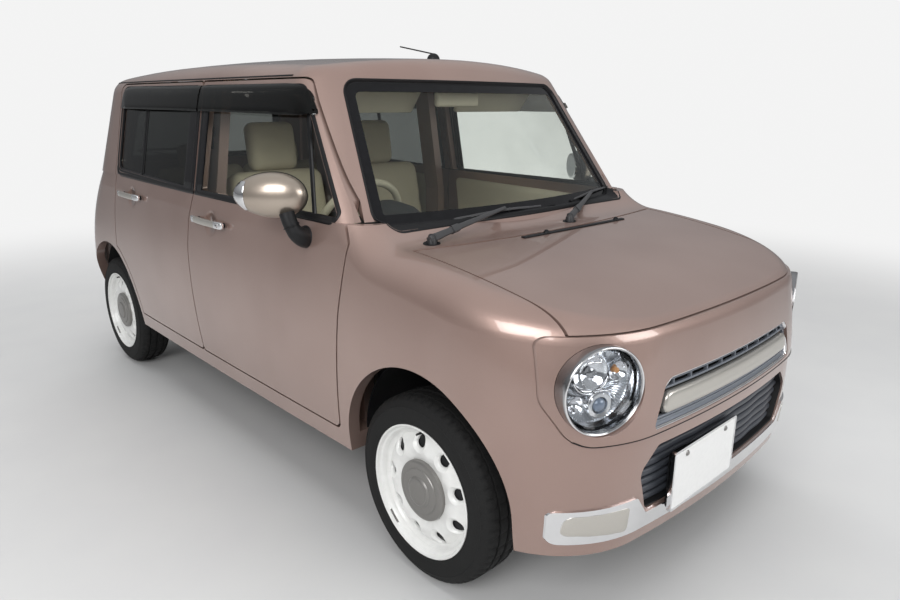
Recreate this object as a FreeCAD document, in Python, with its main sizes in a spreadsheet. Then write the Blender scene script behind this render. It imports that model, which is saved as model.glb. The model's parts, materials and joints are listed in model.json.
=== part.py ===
import FreeCAD, Part
import Sketcher
import math
import os

Vector = FreeCAD.Vector

# Driving dimensions in millimetres and degrees: alias, value.
# +X is the car's left side, the nose points to -Y, Z is up, and the origin lies on the
# ground under the middle of the car.
SIZES = (
    # Whole car
    ("car_length", 3395), ("front_overhang", 565), ("wheelbase", 2400),
    # Plan outlines of the lower body at three heights
    ("low_level", 250), ("mid_level", 600), ("belt_level", 1000),
    ("low_half_width", 709), ("mid_half_width", 737.5), ("belt_half_width", 700),
    ("low_nose_back", 24), ("mid_nose_back", 6), ("belt_nose_back", 70),
    ("low_tail_back", 26), ("mid_tail_back", 0), ("belt_tail_back", 42),
    ("nose_bow_radius", 3490), ("tail_bow_radius", 4200), ("side_bow_radius", 68000),
    ("low_nose_corner", 320), ("mid_nose_corner", 380), ("belt_nose_corner", 400),
    ("low_tail_corner", 190), ("mid_tail_corner", 220), ("belt_tail_corner", 420),
    # Bonnet line in side view and the round of its edges
    ("bonnet_nose_height", 802), ("bonnet_mid_height", 893), ("bonnet_rear_height", 943),
    ("bonnet_rear_y", -1000), ("bonnet_nose_reach", 60), ("cowl_top_y", -868),
    ("shoulder_radius", 100), ("bonnet_nose_radius", 52),
    # Glasshouse: leaning sides, raked screen, near upright tail, domed roof
    ("roof_height", 1510), ("rim_level", 1560), ("side_lean", 0.19),
    ("screen_foot_y", -906), ("screen_rake", 0.70), ("screen_bow_radius", 2150),
    ("tail_rake", 0.27), ("pillar_radius_low", 68), ("pillar_radius_high", 140),
    ("roof_crown_radius", 4000), ("roof_length_radius", 14000), ("roof_summit_y", 250),
    ("rim_radius", 84), ("screen_root_level", 930), ("screen_root_inset", 7),
    # Walls, shut lines and seats of fixed pieces
    ("wall", 40), ("shut_gap", 6), ("seat_gap", 0.3), ("glass_depth", 9), ("glass_thickness", 5),
    # Wheel arches
    ("front_arch_y", -1150), ("front_arch_height", 340), ("front_arch_radius", 318),
    ("rear_arch_y", 1245), ("rear_arch_height", 300), ("rear_arch_radius", 352),
    ("well_inner_x", 385), ("rear_well_inner_x", 490), ("arch_margin", 26), ("liner_thickness", 4),
    ("liner_gap", 2),
    # Sills, floor and lower edges
    ("sill_bottom", 296), ("door_bottom", 362), ("rear_bumper_top", 520),
    ("floor_top", 310), ("floor_thickness", 26), ("sill_inner_x", 560), ("tunnel_half_width", 90),
    ("tunnel_height", 110),
    # Wheels and tyres
    ("tyre_radius", 279), ("tyre_width", 155), ("wheel_centre_x", 620),
    ("rim_seat_radius", 178), ("cap_radius", 91), ("hole_count", 9),
    ("hole_circle", 144), ("hole_length", 52), ("hole_width", 42), ("hub_bore_radius", 28),
    ("kingpin_x", 575),
    # Face: raised panel, lamps, grilles, garnish and plate
    ("face_proud", 6), ("face_half_width", 649), ("face_bottom", 556), ("face_top", 822),
    ("lamp_x", 535), ("lamp_height", 694), ("lamp_radius", 112), ("lamp_depth", 90),
    ("lamp_toe", 20), ("bezel_width", 11),
    ("upper_grille_bottom", 566), ("upper_grille_top", 694), ("upper_grille_half_low", 400),
    ("upper_grille_half_high", 352), ("grille_bar_bottom", 600), ("grille_bar_top", 660),
    ("grille_bar_half", 362), ("slat_count", 5), ("slat_thickness", 7),
    ("lower_grille_bottom", 340), ("lower_grille_mid", 459), ("lower_grille_top", 520),
    ("lower_grille_half", 428), ("rib_count", 9),
    ("plate_width", 330), ("plate_height", 165), ("plate_centre_height", 402),
    ("plate_thickness", 4), ("plate_centre_x", -150),
    # Shut lines of doors, bonnet and tailgate
    ("drip_level", 1410), ("screen_border", 24), ("door_reach", 300), ("bonnet_cut_y", -1008),
    ("bonnet_cut_bow", 42),
    ("tailgate_top", 1386), ("tailgate_gap", 9), ("tailgate_front", 1290), ("fender_rear_y", -845),
    ("cowl_half_width", 605),
    ("grille_frame", 14), ("lamp_set_back", 80), ("lens_crown", 18), ("lens_recess", 14),
    # Hinges: pins lie just under the skin, on brackets that reach into notches of the panels
    ("hinge_inset", 10), ("pin_radius", 4), ("pin_reach", 12), ("bracket_width", 32),
    ("notch_clearance", 5), ("low_hinge_level", 520), ("high_hinge_level", 690),
    ("front_hinge_y", -755), ("frame_foot_x", 628), ("frame_foot_y", -766),
    ("frame_foot_rise", 90), ("rear_hinge_y", 284), ("hinge_post_width", 50),
    ("bonnet_hinge_y", -1075), ("bonnet_hinge_x", 460), ("bonnet_arm_level", 846), ("cowl_gap", 9),
    ("tailgate_hinge_level", 1348), ("tailgate_hinge_x", 240), ("tailgate_bar_front_y", 1390),
    # Towing eyes under the nose and the tail
    ("eye_thickness", 10), ("eye_bore_radius", 12), ("eye_width", 50), ("eye_x", -250),
    ("rear_eye_y", 1480),
    # Tail and structure
    ("rear_bumper_front", 1560), ("tail_lamp_inner_x", 590), ("tail_lamp_bottom", 600),
    ("tail_lamp_top", 860), ("tail_lamp_front", 1480), ("post_front_y", 196), ("post_width", 96),
    ("post_foot_x", 620), ("post_head_x", 536), ("post_drop", 90), ("post_rise", 60), ("bulkhead_y", -800),
    ("bulkhead_top", 900), ("bumper_beam_rear_y", 1570), ("seat_rear_y", 700), ("rail_x", 356),
    ("rail_bottom", 420), ("rail_height", 80),
    ("rail_front_y", -1600), ("liner_outer_x", 645),
    ("disc_back", 18), ("axle_end_x", 668), ("arm_level", 172), ("subframe_half_width", 330),
    ("engine_bottom", 230), ("engine_half_width", 330), ("engine_front", 330),
    ("engine_length", 500), ("engine_height", 430), ("strut_x", 488), ("strut_top", 659),
    ("rear_beam_half", 540), ("beam_lead", 120), ("beam_level", 250), ("trailing_reach", 450),
    ("tank_half_width", 270), ("tank_front_y", 470), ("tank_length", 420), ("tank_height", 110),
    ("exhaust_x", 330), ("exhaust_level", 190), ("exhaust_radius", 20), ("muffler_y", 1380),
    ("muffler_radius", 58), ("muffler_length", 200),
    # Cabin
    ("dash_rear_y", -440), ("dash_top", 950), ("dash_bottom", 640),
    ("dash_half_width", 572), ("column_tilt", 62), ("column_radius", 22), ("steering_radius", 180),
    ("steering_grip", 14),
    ("column_length", 160), ("steering_y", -330), ("steering_height", 900), ("driver_x", 300),
    ("seat_width", 490), ("seat_length", 520), ("seat_front_y", -220), ("cushion_bottom", 400),
    ("cushion_top", 540), ("back_thickness", 120), ("back_top", 1050), ("back_lean", 14),
    ("headrest_width", 230), ("headrest_top", 1230), ("rear_seat_half_width", 478),
    ("rear_seat_front_y", 660), ("visor_y", -500), ("visor_height", 1424),
    # Outside small pieces
    ("mirror_x", 775), ("mirror_y", -543), ("mirror_level", 1067), ("mirror_half_width", 115),
    ("mirror_half_depth", 55), ("mirror_half_height", 70), ("mirror_fold", 50),
    ("mirror_foot_x", 670),
    ("mirror_foot_level", 940), ("mirror_foot_y", -632), ("mirror_arm_x", 742),
    ("cowl_blade_level", 985), ("wiper_boss_radius", 14),
    ("plate_stand", 6), ("aerial_y", -420), ("aerial_length", 190),
)


def fill_sheet(document):
    sheet = document.addObject("Spreadsheet::Sheet", "Sizes")
    for row, (alias, value) in enumerate(SIZES, start=1):
        sheet.set("A%d" % row, alias)
        sheet.set("B%d" % row, str(value))
        sheet.setAlias("B%d" % row, alias)
    document.recompute()
    return sheet


document = FreeCAD.newDocument("kei_car")
sheet = fill_sheet(document)


class Named:
    """Sizes read back from the sheet by name."""

    def __getattr__(self, alias):
        return float(sheet.get(alias))


size = Named()
nose_y = -size.car_length / 2
tail_y = size.car_length / 2
front_axle_y = nose_y + size.front_overhang
rear_axle_y = front_axle_y + size.wheelbase


# Plane curves

def side_point(y, z):
    return Vector(0, y, z)


def meet_of_circles(first, first_radius, second, second_radius):
    """The crossing with the larger X."""
    step = second.sub(first)
    reach = (first_radius ** 2 - second_radius ** 2 + step.Length ** 2) / (2 * step.Length)
    height = math.sqrt(first_radius ** 2 - reach ** 2)
    foot = first + step * (reach / step.Length)
    across = Vector(-step.y, step.x, 0) * (height / step.Length)
    return max(foot + across, foot - across, key=lambda point: point.x)


def toward(centre, target, distance):
    ray = target.sub(centre)
    ray.normalize()
    return centre + ray * distance


def plan_outline(level, half_width, front, rear, front_bow, corner_front, corner_rear, inset):
    """Eight arcs: bowed front, rear and sides, with tangent corners, moved inward by inset."""
    front_centre = Vector(0, front + front_bow, 0)
    rear_centre = Vector(0, rear - size.tail_bow_radius, 0)
    side_centre = Vector(half_width - size.side_bow_radius, (front + rear) / 2, 0)
    front_corner = meet_of_circles(front_centre, front_bow - corner_front,
                                   side_centre, size.side_bow_radius - corner_front)
    rear_corner = meet_of_circles(rear_centre, size.tail_bow_radius - corner_rear,
                                  side_centre, size.side_bow_radius - corner_rear)
    front_end = toward(front_centre, front_corner, front_bow - inset)
    side_front = toward(side_centre, front_corner, size.side_bow_radius - inset)
    rear_end = toward(rear_centre, rear_corner, size.tail_bow_radius - inset)
    side_rear = toward(side_centre, rear_corner, size.side_bow_radius - inset)
    front_round = toward(front_corner, (front_end + side_front) * 0.5, corner_front - inset)
    rear_round = toward(rear_corner, (rear_end + side_rear) * 0.5, corner_rear - inset)
    nose = Vector(0, front + inset, 0)
    tail = Vector(0, rear - inset, 0)
    flank = Vector(half_width - inset, (front + rear) / 2, 0)

    def other(point):
        return Vector(-point.x, point.y, point.z)

    arcs = ((other(front_end), nose, front_end), (front_end, front_round, side_front),
            (side_front, flank, side_rear), (side_rear, rear_round, rear_end),
            (rear_end, tail, other(rear_end)), (other(rear_end), other(rear_round), other(side_rear)),
            (other(side_rear), other(flank), other(side_front)),
            (other(side_front), other(front_round), other(front_end)))
    lift = Vector(0, 0, level)
    return Part.Wire([Part.Arc(a + lift, b + lift, c + lift).toShape() for a, b, c in arcs])


def rounded_wire(rows, place):
    """A closed outline of straight runs with round corners. rows: first, second, radius."""
    points = [place(first, second) for first, second, radius in rows]
    count = len(points)
    edges = []
    last = None
    opening = None
    for index, (first, second, radius) in enumerate(rows):
        here = points[index]
        before = points[index - 1].sub(here)
        after = points[(index + 1) % count].sub(here)
        if radius > 0:
            half_turn = before.getAngle(after) / 2
            back = radius / math.tan(half_turn)
            start = toward(here, points[index - 1], back)
            finish = toward(here, points[(index + 1) % count], back)
            bisector = toward(here, (start + finish) * 0.5, radius / math.sin(half_turn) - radius)
        else:
            start = finish = here
            bisector = None
        if last is not None and last.distanceToPoint(start) > 1e-6:
            edges.append(Part.makeLine(last, start))
        if bisector is not None:
            edges.append(Part.Arc(start, bisector, finish).toShape())
        if opening is None:
            opening = start
        last = finish
    if last.distanceToPoint(opening) > 1e-6:
        edges.append(Part.makeLine(last, opening))
    return Part.Wire(edges)


def side_prism(rows, low_x, high_x):
    """A side view outline (y, z, radius) run across from low_x to high_x."""
    face = Part.Face(rounded_wire(rows, lambda y, z: Vector(low_x, y, z)))
    return face.extrude(Vector(high_x - low_x, 0, 0))


def front_prism(rows, low_y, high_y):
    """A front view outline (x, z, radius) run along from low_y to high_y."""
    face = Part.Face(rounded_wire(rows, lambda x, z: Vector(x, low_y, z)))
    return face.extrude(Vector(0, high_y - low_y, 0))


def block(low, high):
    return Part.makeBox(high[0] - low[0], high[1] - low[1], high[2] - low[2], Vector(*low))


def across_cylinder(radius, low_x, high_x, y, z):
    return Part.makeCylinder(radius, high_x - low_x, Vector(low_x, y, z), Vector(1, 0, 0))


def mirrored(shape):
    return shape.mirror(Vector(0, 0, 0), Vector(1, 0, 0))


def both_sides(rows):
    """Mirror a half outline (x, z, radius), listed from the middle line outward."""
    return tuple(rows) + tuple((-x, z, radius) for x, z, radius in reversed(rows))


# Outer form of the body, and the same form moved inward by an inset

def lower_form(inset):
    levels = ("low", "mid", "belt")
    wires = []
    for level in levels:
        wires.append(plan_outline(
            getattr(size, level + "_level"), getattr(size, level + "_half_width"),
            nose_y + getattr(size, level + "_nose_back"), tail_y - getattr(size, level + "_tail_back"),
            size.nose_bow_radius, getattr(size, level + "_nose_corner"),
            getattr(size, level + "_tail_corner"), inset))
    tub = Part.makeLoft(wires, True, False)

    front = side_point(nose_y - size.bonnet_nose_reach, size.bonnet_nose_height - inset)
    rear = side_point(size.bonnet_rear_y, size.bonnet_rear_height - inset)
    middle = side_point((front.y + rear.y) / 2, size.bonnet_mid_height - inset)
    bonnet = Part.Arc(front, middle, rear)
    along = bonnet.tangent(bonnet.LastParameter)[0]
    top = side_point(size.cowl_top_y + inset / 2, size.belt_level + size.shut_gap)
    chord = top.sub(rear)
    normal = Vector(0, -along.z, along.y)
    sweep_radius = chord.Length ** 2 / (2 * chord.dot(normal))
    centre = rear + normal * sweep_radius
    cowl = Part.Arc(rear, toward(centre, (rear + top) * 0.5, abs(sweep_radius)), top)
    above = size.belt_level + size.roof_height
    edges = [bonnet.toShape(), cowl.toShape(),
             Part.makeLine(top, side_point(top.y, above)),
             Part.makeLine(side_point(top.y, above), side_point(front.y, above)),
             Part.makeLine(side_point(front.y, above), front)]
    face = Part.Face(Part.Wire(edges))
    face.translate(Vector(-size.mid_half_width * 2, 0, 0))
    tub = tub.cut(face.extrude(Vector(size.mid_half_width * 4, 0, 0)))

    rows = []
    shoulder = size.shoulder_radius - inset
    nose = size.bonnet_nose_radius - inset
    nose = max(nose, size.bonnet_nose_radius / 4)
    for number, edge in enumerate(tub.Edges, start=1):
        owners = [face for face in tub.Faces if any(own.isSame(edge) for own in face.Edges)]
        lifted = [face for face in owners if swept_across(face)]
        walls = [face for face in owners if isinstance(face.Surface, Part.BSplineSurface)]
        if len(lifted) != 1 or len(walls) != 1:
            continue
        ends = [edge.valueAt(edge.FirstParameter), edge.valueAt(edge.LastParameter)]
        if ends[0].x * ends[1].x < 0:
            rows.append((number, nose, nose))
        elif min(abs(ends[0].x), abs(ends[1].x)) < size.belt_half_width * 0.85:
            inner_first = abs(ends[0].x) < abs(ends[1].x)
            rows.append((number, nose if inner_first else shoulder, shoulder if inner_first else nose))
        else:
            rows.append((number, shoulder, shoulder))
    return round_edges(tub, rows)


def swept_across(face):
    """True for a face that runs straight across the car: bonnet or cowl."""
    surface = face.Surface
    if isinstance(surface, Part.Plane) or isinstance(surface, Part.BSplineSurface):
        return False
    if isinstance(surface, Part.Cylinder):
        return abs(surface.Axis.x) > 0.99
    return isinstance(surface, Part.SurfaceOfExtrusion)


def round_edges(shape, rows):
    """Round edges, each with its own radius at its two ends."""
    base = document.addObject("Part::Feature", "form_base")
    base.Shape = shape
    rounded = document.addObject("Part::Fillet", "form_rounds")
    rounded.Base = base
    rounded.Edges = rows
    document.recompute()
    if "Invalid" in rounded.State or rounded.Shape.isNull():
        raise RuntimeError("edge rounds failed: %s" % (rows,))
    result = rounded.Shape.copy()
    document.removeObject(rounded.Name)
    document.removeObject(base.Name)
    return result


def glasshouse_outline(level, inset, side_inset=0):
    rise = level - size.belt_level
    front = size.screen_foot_y + size.screen_rake * rise
    rear = tail_y - size.belt_tail_back - size.tail_rake * rise
    share = rise / (size.rim_level - size.belt_level)
    corner = size.pillar_radius_low + (size.pillar_radius_high - size.pillar_radius_low) * share
    half_width = size.belt_half_width - size.side_lean * rise - side_inset
    return plan_outline(level, half_width, front, rear, size.screen_bow_radius, corner,
                        size.belt_tail_corner, inset)


def glasshouse_block(low_level, high_level, inset, side_inset=0):
    return Part.makeLoft([glasshouse_outline(low_level, inset, side_inset),
                          glasshouse_outline(high_level, inset, side_inset)], True, True)


def roof_dome(inset):
    """A barrel whose crown is the roof: an arc in side view turned about a long axis below."""
    crown = size.roof_height - inset
    bend = size.roof_length_radius

    def height(y):
        return crown - bend + math.sqrt(bend ** 2 - (y - size.roof_summit_y) ** 2)

    front = nose_y
    rear = tail_y
    floor = size.screen_root_level
    face = Part.Face(Part.Wire([
        Part.Arc(side_point(front, height(front)), side_point(size.roof_summit_y, crown),
                 side_point(rear, height(rear))).toShape(),
        Part.makeLine(side_point(rear, height(rear)), side_point(rear, floor)),
        Part.makeLine(side_point(rear, floor), side_point(front, floor)),
        Part.makeLine(side_point(front, floor), side_point(front, height(front)))]))
    axis_point = Vector(0, 0, size.roof_height - size.roof_crown_radius)
    half_turn = math.degrees(math.asin(size.mid_half_width * 1.2 / size.roof_crown_radius))
    face.rotate(axis_point, Vector(0, 1, 0), -half_turn)
    return face.revolve(axis_point, Vector(0, 1, 0), 2 * half_turn)


def upper_form(inset):
    house = glasshouse_block(size.belt_level, size.rim_level, inset).common(roof_dome(inset))
    radius = size.rim_radius - inset
    rows = []
    for number, edge in enumerate(house.Edges, start=1):
        middle = edge.valueAt((edge.FirstParameter + edge.LastParameter) / 2)
        if middle.z > size.belt_level + 0.7 * (size.roof_height - size.belt_level) \
                and edge.BoundBox.ZLength < 2 * size.rim_radius:
            rows.append((number, radius, radius))
    return round_edges(house, rows)


def outer_form(inset):
    root = glasshouse_block(size.screen_root_level, size.belt_level, inset, size.screen_root_inset)
    return lower_form(inset).fuse([upper_form(inset), root]).removeSplitter()


# Split lines of the body in side view: y, z, corner radius

def split_line(shift):
    """The line between the front and rear door, from the sill up to the drip."""
    return ((182 + shift, size.door_bottom, 18), (233 + shift, 780, 260), (224 + shift, 905, 120),
            (190 + shift, size.belt_level + 10, 60), (190 + shift, size.drip_level, 18))


def front_door_outline(grow):
    rows = [(-783 - grow, size.door_bottom - grow, 24), (-808 - grow, 740, 500),
            (-838 - grow, 946 + grow, 26), (-772 - grow, 1050 + grow, 120),
            (-556 - grow, 1338 + grow, 60), (-512, size.drip_level + grow, 40)]
    rear = [(y + grow, z + (grow if z > size.belt_level + 20 else 0)
             - (grow if z == size.door_bottom else 0), radius) for y, z, radius in split_line(0)]
    return tuple(rows) + tuple(reversed(rear))


def rear_door_outline(grow):
    front = [(y - grow, z + (grow if z > size.belt_level + 20 else 0)
              - (grow if z == size.door_bottom else 0), radius)
             for y, z, radius in split_line(size.shut_gap)]
    rear = [(1078 + grow, size.drip_level + grow, 40), (1088 + grow, 1040, 200),
            (1102 + grow, 760, 60), (1102 + grow, size.door_bottom - grow, 18)]
    return tuple(front) + tuple(rear)


FRONT_WINDOW = ((-768, 1006, 14), (-553, 1306, 70), (-496, 1384, 30), (168, 1388, 16), (168, 1006, 14))
REAR_WINDOW = ((226, 1006, 14), (226, 1388, 16), (1048, 1392, 50), (1060, 1030, 40))


def window_outline(rows, shrink):
    """The same outline moved inward all round."""
    face = Part.Face(rounded_wire(rows, lambda y, z: Vector(0, y, z)))
    if shrink == 0:
        return face
    return face.makeOffset2D(-shrink)


def across(face, low_x, high_x):
    copy = face.copy()
    copy.translate(Vector(low_x, 0, 0))
    return copy.extrude(Vector(high_x - low_x, 0, 0))


def along(rows, shrink, low_y, high_y):
    face = Part.Face(rounded_wire(rows, lambda x, z: Vector(x, low_y, z)))
    if shrink:
        face = face.makeOffset2D(-shrink)
    return face.extrude(Vector(0, high_y - low_y, 0))


def bonnet_outline(shrink, rear_shrink):
    """Plan of the bonnet: a bowed rear edge, sides that close in towards the nose."""
    rear_x, front_x = 599 - shrink, 583 - shrink
    rear_y, front_y = size.bonnet_cut_y - rear_shrink, nose_y - size.bonnet_nose_reach
    left = Vector(rear_x, rear_y, 0)
    right = Vector(-rear_x, rear_y, 0)
    bow = Vector(0, rear_y - size.bonnet_cut_bow, 0)
    wire = Part.Wire([Part.Arc(left, bow, right).toShape(),
                      Part.makeLine(right, Vector(-front_x, front_y, 0)),
                      Part.makeLine(Vector(-front_x, front_y, 0), Vector(front_x, front_y, 0)),
                      Part.makeLine(Vector(front_x, front_y, 0), left)])
    face = Part.Face(wire)
    face.translate(Vector(0, 0, size.face_top + shrink))
    return face.extrude(Vector(0, 0, size.belt_level - size.face_top))


def face_outline(grow):
    half = size.face_half_width + grow
    return both_sides(((0, size.face_bottom - grow, 0), (half - 50, size.face_bottom - grow, 70),
                       (half, size.face_bottom + 110, 90), (half - 6, size.face_top + grow, 26),
                       (0, size.face_top + grow, 0)))


def tailgate_outline(grow):
    half_low, half_high = 566 + grow, 500 + grow
    low, high = size.rear_bumper_top - grow, size.tailgate_top + grow
    return ((-half_low + 30, low, 50), (-half_low, size.belt_level - 60, 300), (-half_high, high, 60),
            (half_high, high, 60), (half_low, size.belt_level - 60, 300), (half_low - 30, low, 50))


TAILGATE_WINDOW = ((-470, 1015, 40), (-424, 1312, 60), (424, 1312, 60), (470, 1015, 40))
SCREEN_OUTLINE = ((-598, 978, 40), (-508, 1408, 60), (508, 1408, 60), (598, 978, 40))


def arch_cut(y, height, radius, low_x, high_x):
    """A wheel opening: a round arch with straight legs to the ground."""
    arch = across_cylinder(radius, low_x, high_x, y, height)
    legs = block((low_x, y - radius, -1), (high_x, y + radius, height))
    return arch.fuse(legs)


names = {}


def keep(name, shape):
    """A fixed shape from code becomes an object of the document."""
    feature = document.addObject("Part::Feature", name)
    feature.Shape = shape
    feature.Label = name
    feature.Placement = shape.Placement
    names[name] = feature
    return feature


def sheet_words(expression):
    """Prefix the sizes in an expression with the sheet's name."""
    out = []
    word = ""
    for sign in expression + " ":
        if sign.isalnum() or sign == "_":
            word += sign
            continue
        if word in ALIASES:
            word = "Sizes." + word
        out.append(word + sign)
        word = ""
    return "".join(out).strip()


ALIASES = {alias for alias, value in SIZES}


def primitive(kind, name, place, **sizes):
    """A Part primitive with every size and its place bound to the sheet."""
    thing = document.addObject("Part::" + kind, name)
    for prop, expression in sizes.items():
        thing.setExpression(prop, sheet_words(expression))
    for axis_name, expression in zip("xyz", place):
        thing.setExpression("Placement.Base." + axis_name, sheet_words(expression))
    return thing


def join(kind, name, *parts):
    """A boolean of document objects: MultiFuse, MultiCommon or Cut."""
    thing = document.addObject("Part::" + kind, name)
    if kind == "Cut":
        thing.Base, thing.Tool = parts
    else:
        thing.Shapes = list(parts)
    return thing


def node(thing, name):
    thing.Label = name
    names[name] = thing
    return thing


# Body panels: the skin between the outer form and the form one wall inside it

outer = outer_form(0)
inner = outer_form(size.wall)
skin = outer.cut(inner)
gap = size.shut_gap
seat = size.seat_gap


def right_and_left(name, shape):
    keep(name + "_right", shape)
    keep(name + "_left", mirrored(shape))


far = size.mid_half_width * 2
openings = []
screen_pillars = along(SCREEN_OUTLINE, -size.screen_border, nose_y, -size.door_reach)
screen_border = along(SCREEN_OUTLINE, gap - size.screen_border, nose_y, -size.door_reach)
for side, sign in (("right", -1), ("left", 1)):
    low_x, high_x = (-far, -size.door_reach) if sign < 0 else (size.door_reach, far)
    openings.append(side_prism(front_door_outline(gap), low_x, high_x).cut(screen_border))
    rear_opening = side_prism(rear_door_outline(gap), low_x, high_x)
    ring = across_cylinder(size.rear_arch_radius + size.arch_margin, low_x, high_x,
                           size.rear_arch_y, size.rear_arch_height)
    openings.append(rear_opening.cut(ring))

arches = []
for low_x, high_x in ((-far, -size.well_inner_x), (size.well_inner_x, far)):
    arches.append(arch_cut(size.front_arch_y, size.front_arch_height, size.front_arch_radius,
                           low_x, high_x))
    arches.append(arch_cut(size.rear_arch_y, size.rear_arch_height, size.rear_arch_radius,
                           low_x, high_x))
sill_cut = block((-far, size.front_arch_y, 0), (far, size.rear_arch_y, size.sill_bottom))
body = skin.cut(arches + [sill_cut])


# Hinges. A door's axis stands upright just under the skin's widest line; the notches are open
# towards the door's leading edge, where the bracket goes as the door swings.
HINGE_LEVELS = (size.low_hinge_level, size.high_hinge_level)


def door_axis_x(hinge_y):
    drop = hinge_y ** 2 / (2 * size.side_bow_radius)
    return size.mid_half_width - drop - size.hinge_inset


def door_notch(hinge_y, level):
    x = -door_axis_x(hinge_y)
    tall = size.bracket_width / 2 + size.notch_clearance
    bore = size.pin_radius + seat
    hollow = block((x - bore, hinge_y - 150, level - tall),
                   (x + 200, hinge_y + size.pin_radius + size.notch_clearance, level + tall))
    hole = Part.makeCylinder(bore, 2 * (tall + size.pin_reach) + 2,
                             Vector(x, hinge_y, level - tall - size.pin_reach - 1))
    return hollow.fuse(hole)


def door_bracket(hinge_y, level):
    x = -door_axis_x(hinge_y)
    tall = size.bracket_width / 2
    reach = tall + size.notch_clearance + size.pin_reach
    leaf = block((x, hinge_y - size.pin_radius, level - tall),
                 (-size.post_foot_x + 10, hinge_y + size.pin_radius, level + tall))
    return leaf.fuse(Part.makeCylinder(size.pin_radius, 2 * reach, Vector(x, hinge_y, level - reach)))


def across_pin(radius, x, half_length, y, z):
    return across_cylinder(radius, x - half_length, x + half_length, y, z)


def bonnet_level(y):
    """Height of the bonnet's top line: the arc through its three named points."""
    front = side_point(nose_y - size.bonnet_nose_reach, size.bonnet_nose_height)
    rear = side_point(size.bonnet_rear_y, size.bonnet_rear_height)
    middle = side_point((front.y + rear.y) / 2, size.bonnet_mid_height)
    arc = Part.Arc(front, middle, rear).toShape()
    line = Part.makeLine(side_point(y, 0), side_point(y, size.roof_height))
    return arc.distToShape(line)[1][0][0].z


bonnet_axis_z = bonnet_level(size.bonnet_hinge_y) - size.hinge_inset


def bonnet_notch(x):
    wide = size.bracket_width / 2 + size.notch_clearance
    bore = size.pin_radius + seat
    y = size.bonnet_hinge_y
    hollow = block((x - wide, y - size.pin_radius - size.notch_clearance, size.face_top),
                   (x + wide, size.bonnet_cut_y + gap, bonnet_axis_z + bore))
    return hollow.fuse(across_pin(bore, x, wide + size.pin_reach + 1, y, bonnet_axis_z))


def bonnet_arm(x):
    """A cranked arm under the cowl that rises to the bonnet's hinge pin."""
    half_wide = size.bracket_width / 2
    y = size.bonnet_hinge_y
    low, thick = size.bonnet_arm_level, 20
    bar = block((x - half_wide, y - size.pin_radius, low),
                (x + half_wide, size.bonnet_cut_y + 50, low + thick))
    riser = block((x - half_wide, y - size.pin_radius, low),
                  (x + half_wide, y + size.pin_radius, bonnet_axis_z))
    post = block((x - half_wide, size.bonnet_cut_y + 30, low),
                 (x + half_wide, size.bonnet_cut_y + 50, bonnet_axis_z))
    pin = across_pin(size.pin_radius, x, half_wide + size.notch_clearance + size.pin_reach, y,
                     bonnet_axis_z)
    return bar.fuse([riser, post, pin])


def tail_surface(x, level):
    """The tail's outer face, where a line along the car at this height leaves the body."""
    line = Part.makeLine(Vector(x, 0, level), Vector(x, tail_y * 2, level))
    return max(vertex.Y for vertex in outer.section(line).Vertexes)


tailgate_axis_y = tail_surface(size.tailgate_hinge_x, size.tailgate_hinge_level) - size.hinge_inset


def tailgate_notch(x):
    wide = size.bracket_width / 2 + size.notch_clearance
    bore = size.pin_radius + seat
    y, z = tailgate_axis_y, size.tailgate_hinge_level
    hollow = block((x - wide, size.tailgate_front, z - size.pin_radius - size.notch_clearance),
                   (x + wide, y + bore, size.tailgate_top + gap))
    return hollow.fuse(across_pin(bore, x, wide + size.pin_reach + 1, y, z))


def tailgate_arm(x):
    half_wide = size.bracket_width / 2
    y, z = tailgate_axis_y, size.tailgate_hinge_level
    bar = block((x - half_wide, size.tailgate_bar_front_y, z - size.pin_radius),
                (x + half_wide, y, z + size.pin_radius))
    hanger = block((x - half_wide, size.tailgate_bar_front_y, z - size.pin_radius),
                   (x + half_wide, size.tailgate_bar_front_y + 20, size.roof_height)).common(outer)
    pin = across_pin(size.pin_radius, x, half_wide + size.notch_clearance + size.pin_reach, y, z)
    return bar.fuse([hanger, pin])


def door(outline, window_rows, ring_cut, hinge_y):
    prism = side_prism(outline, -far, -size.door_reach)
    panel = body.common(prism)
    if not ring_cut:
        panel = panel.cut(screen_pillars)
    else:
        panel = panel.cut(across_cylinder(size.rear_arch_radius + size.arch_margin + gap, -far, 0,
                                          size.rear_arch_y, size.rear_arch_height))
    panel = panel.cut(across(window_outline(window_rows, 0), -far, -size.door_reach))
    return panel.cut([door_notch(hinge_y, level) for level in HINGE_LEVELS])


def only_solid(shape):
    return max(shape.Solids, key=lambda solid: solid.Volume)


front_door = only_solid(door(front_door_outline(0), FRONT_WINDOW, False, size.front_hinge_y))
# The frame's foot ahead of the hinge swings inward, so its inner half is cut back
foot_room = block((-size.frame_foot_x, front_axle_y, size.belt_level - size.wall),
                  (-size.door_reach, size.frame_foot_y, size.belt_level + size.frame_foot_rise))
front_door = only_solid(front_door.cut(foot_room))
rear_door = only_solid(door(rear_door_outline(0), REAR_WINDOW, True, size.rear_hinge_y))
right_and_left("front_door", front_door)
right_and_left("rear_door", rear_door)

glass_outer = glasshouse_block(size.belt_level - 20, size.rim_level, size.glass_depth)
glass_inner = glasshouse_block(size.belt_level - 20, size.rim_level,
                               size.glass_depth + size.glass_thickness)
screen_outer = glasshouse_block(size.screen_root_level, size.rim_level, size.glass_depth)
screen_inner = glasshouse_block(size.screen_root_level, size.rim_level,
                                size.glass_depth + size.glass_thickness)
pane = glass_outer.cut(glass_inner)
screen_pane = screen_outer.cut(screen_inner)
right_and_left("front_door_glass", only_solid(
    pane.common(across(window_outline(FRONT_WINDOW, seat), -far, -size.door_reach))))
right_and_left("rear_door_glass", only_solid(
    pane.common(across(window_outline(REAR_WINDOW, seat), -far, -size.door_reach))))


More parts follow.
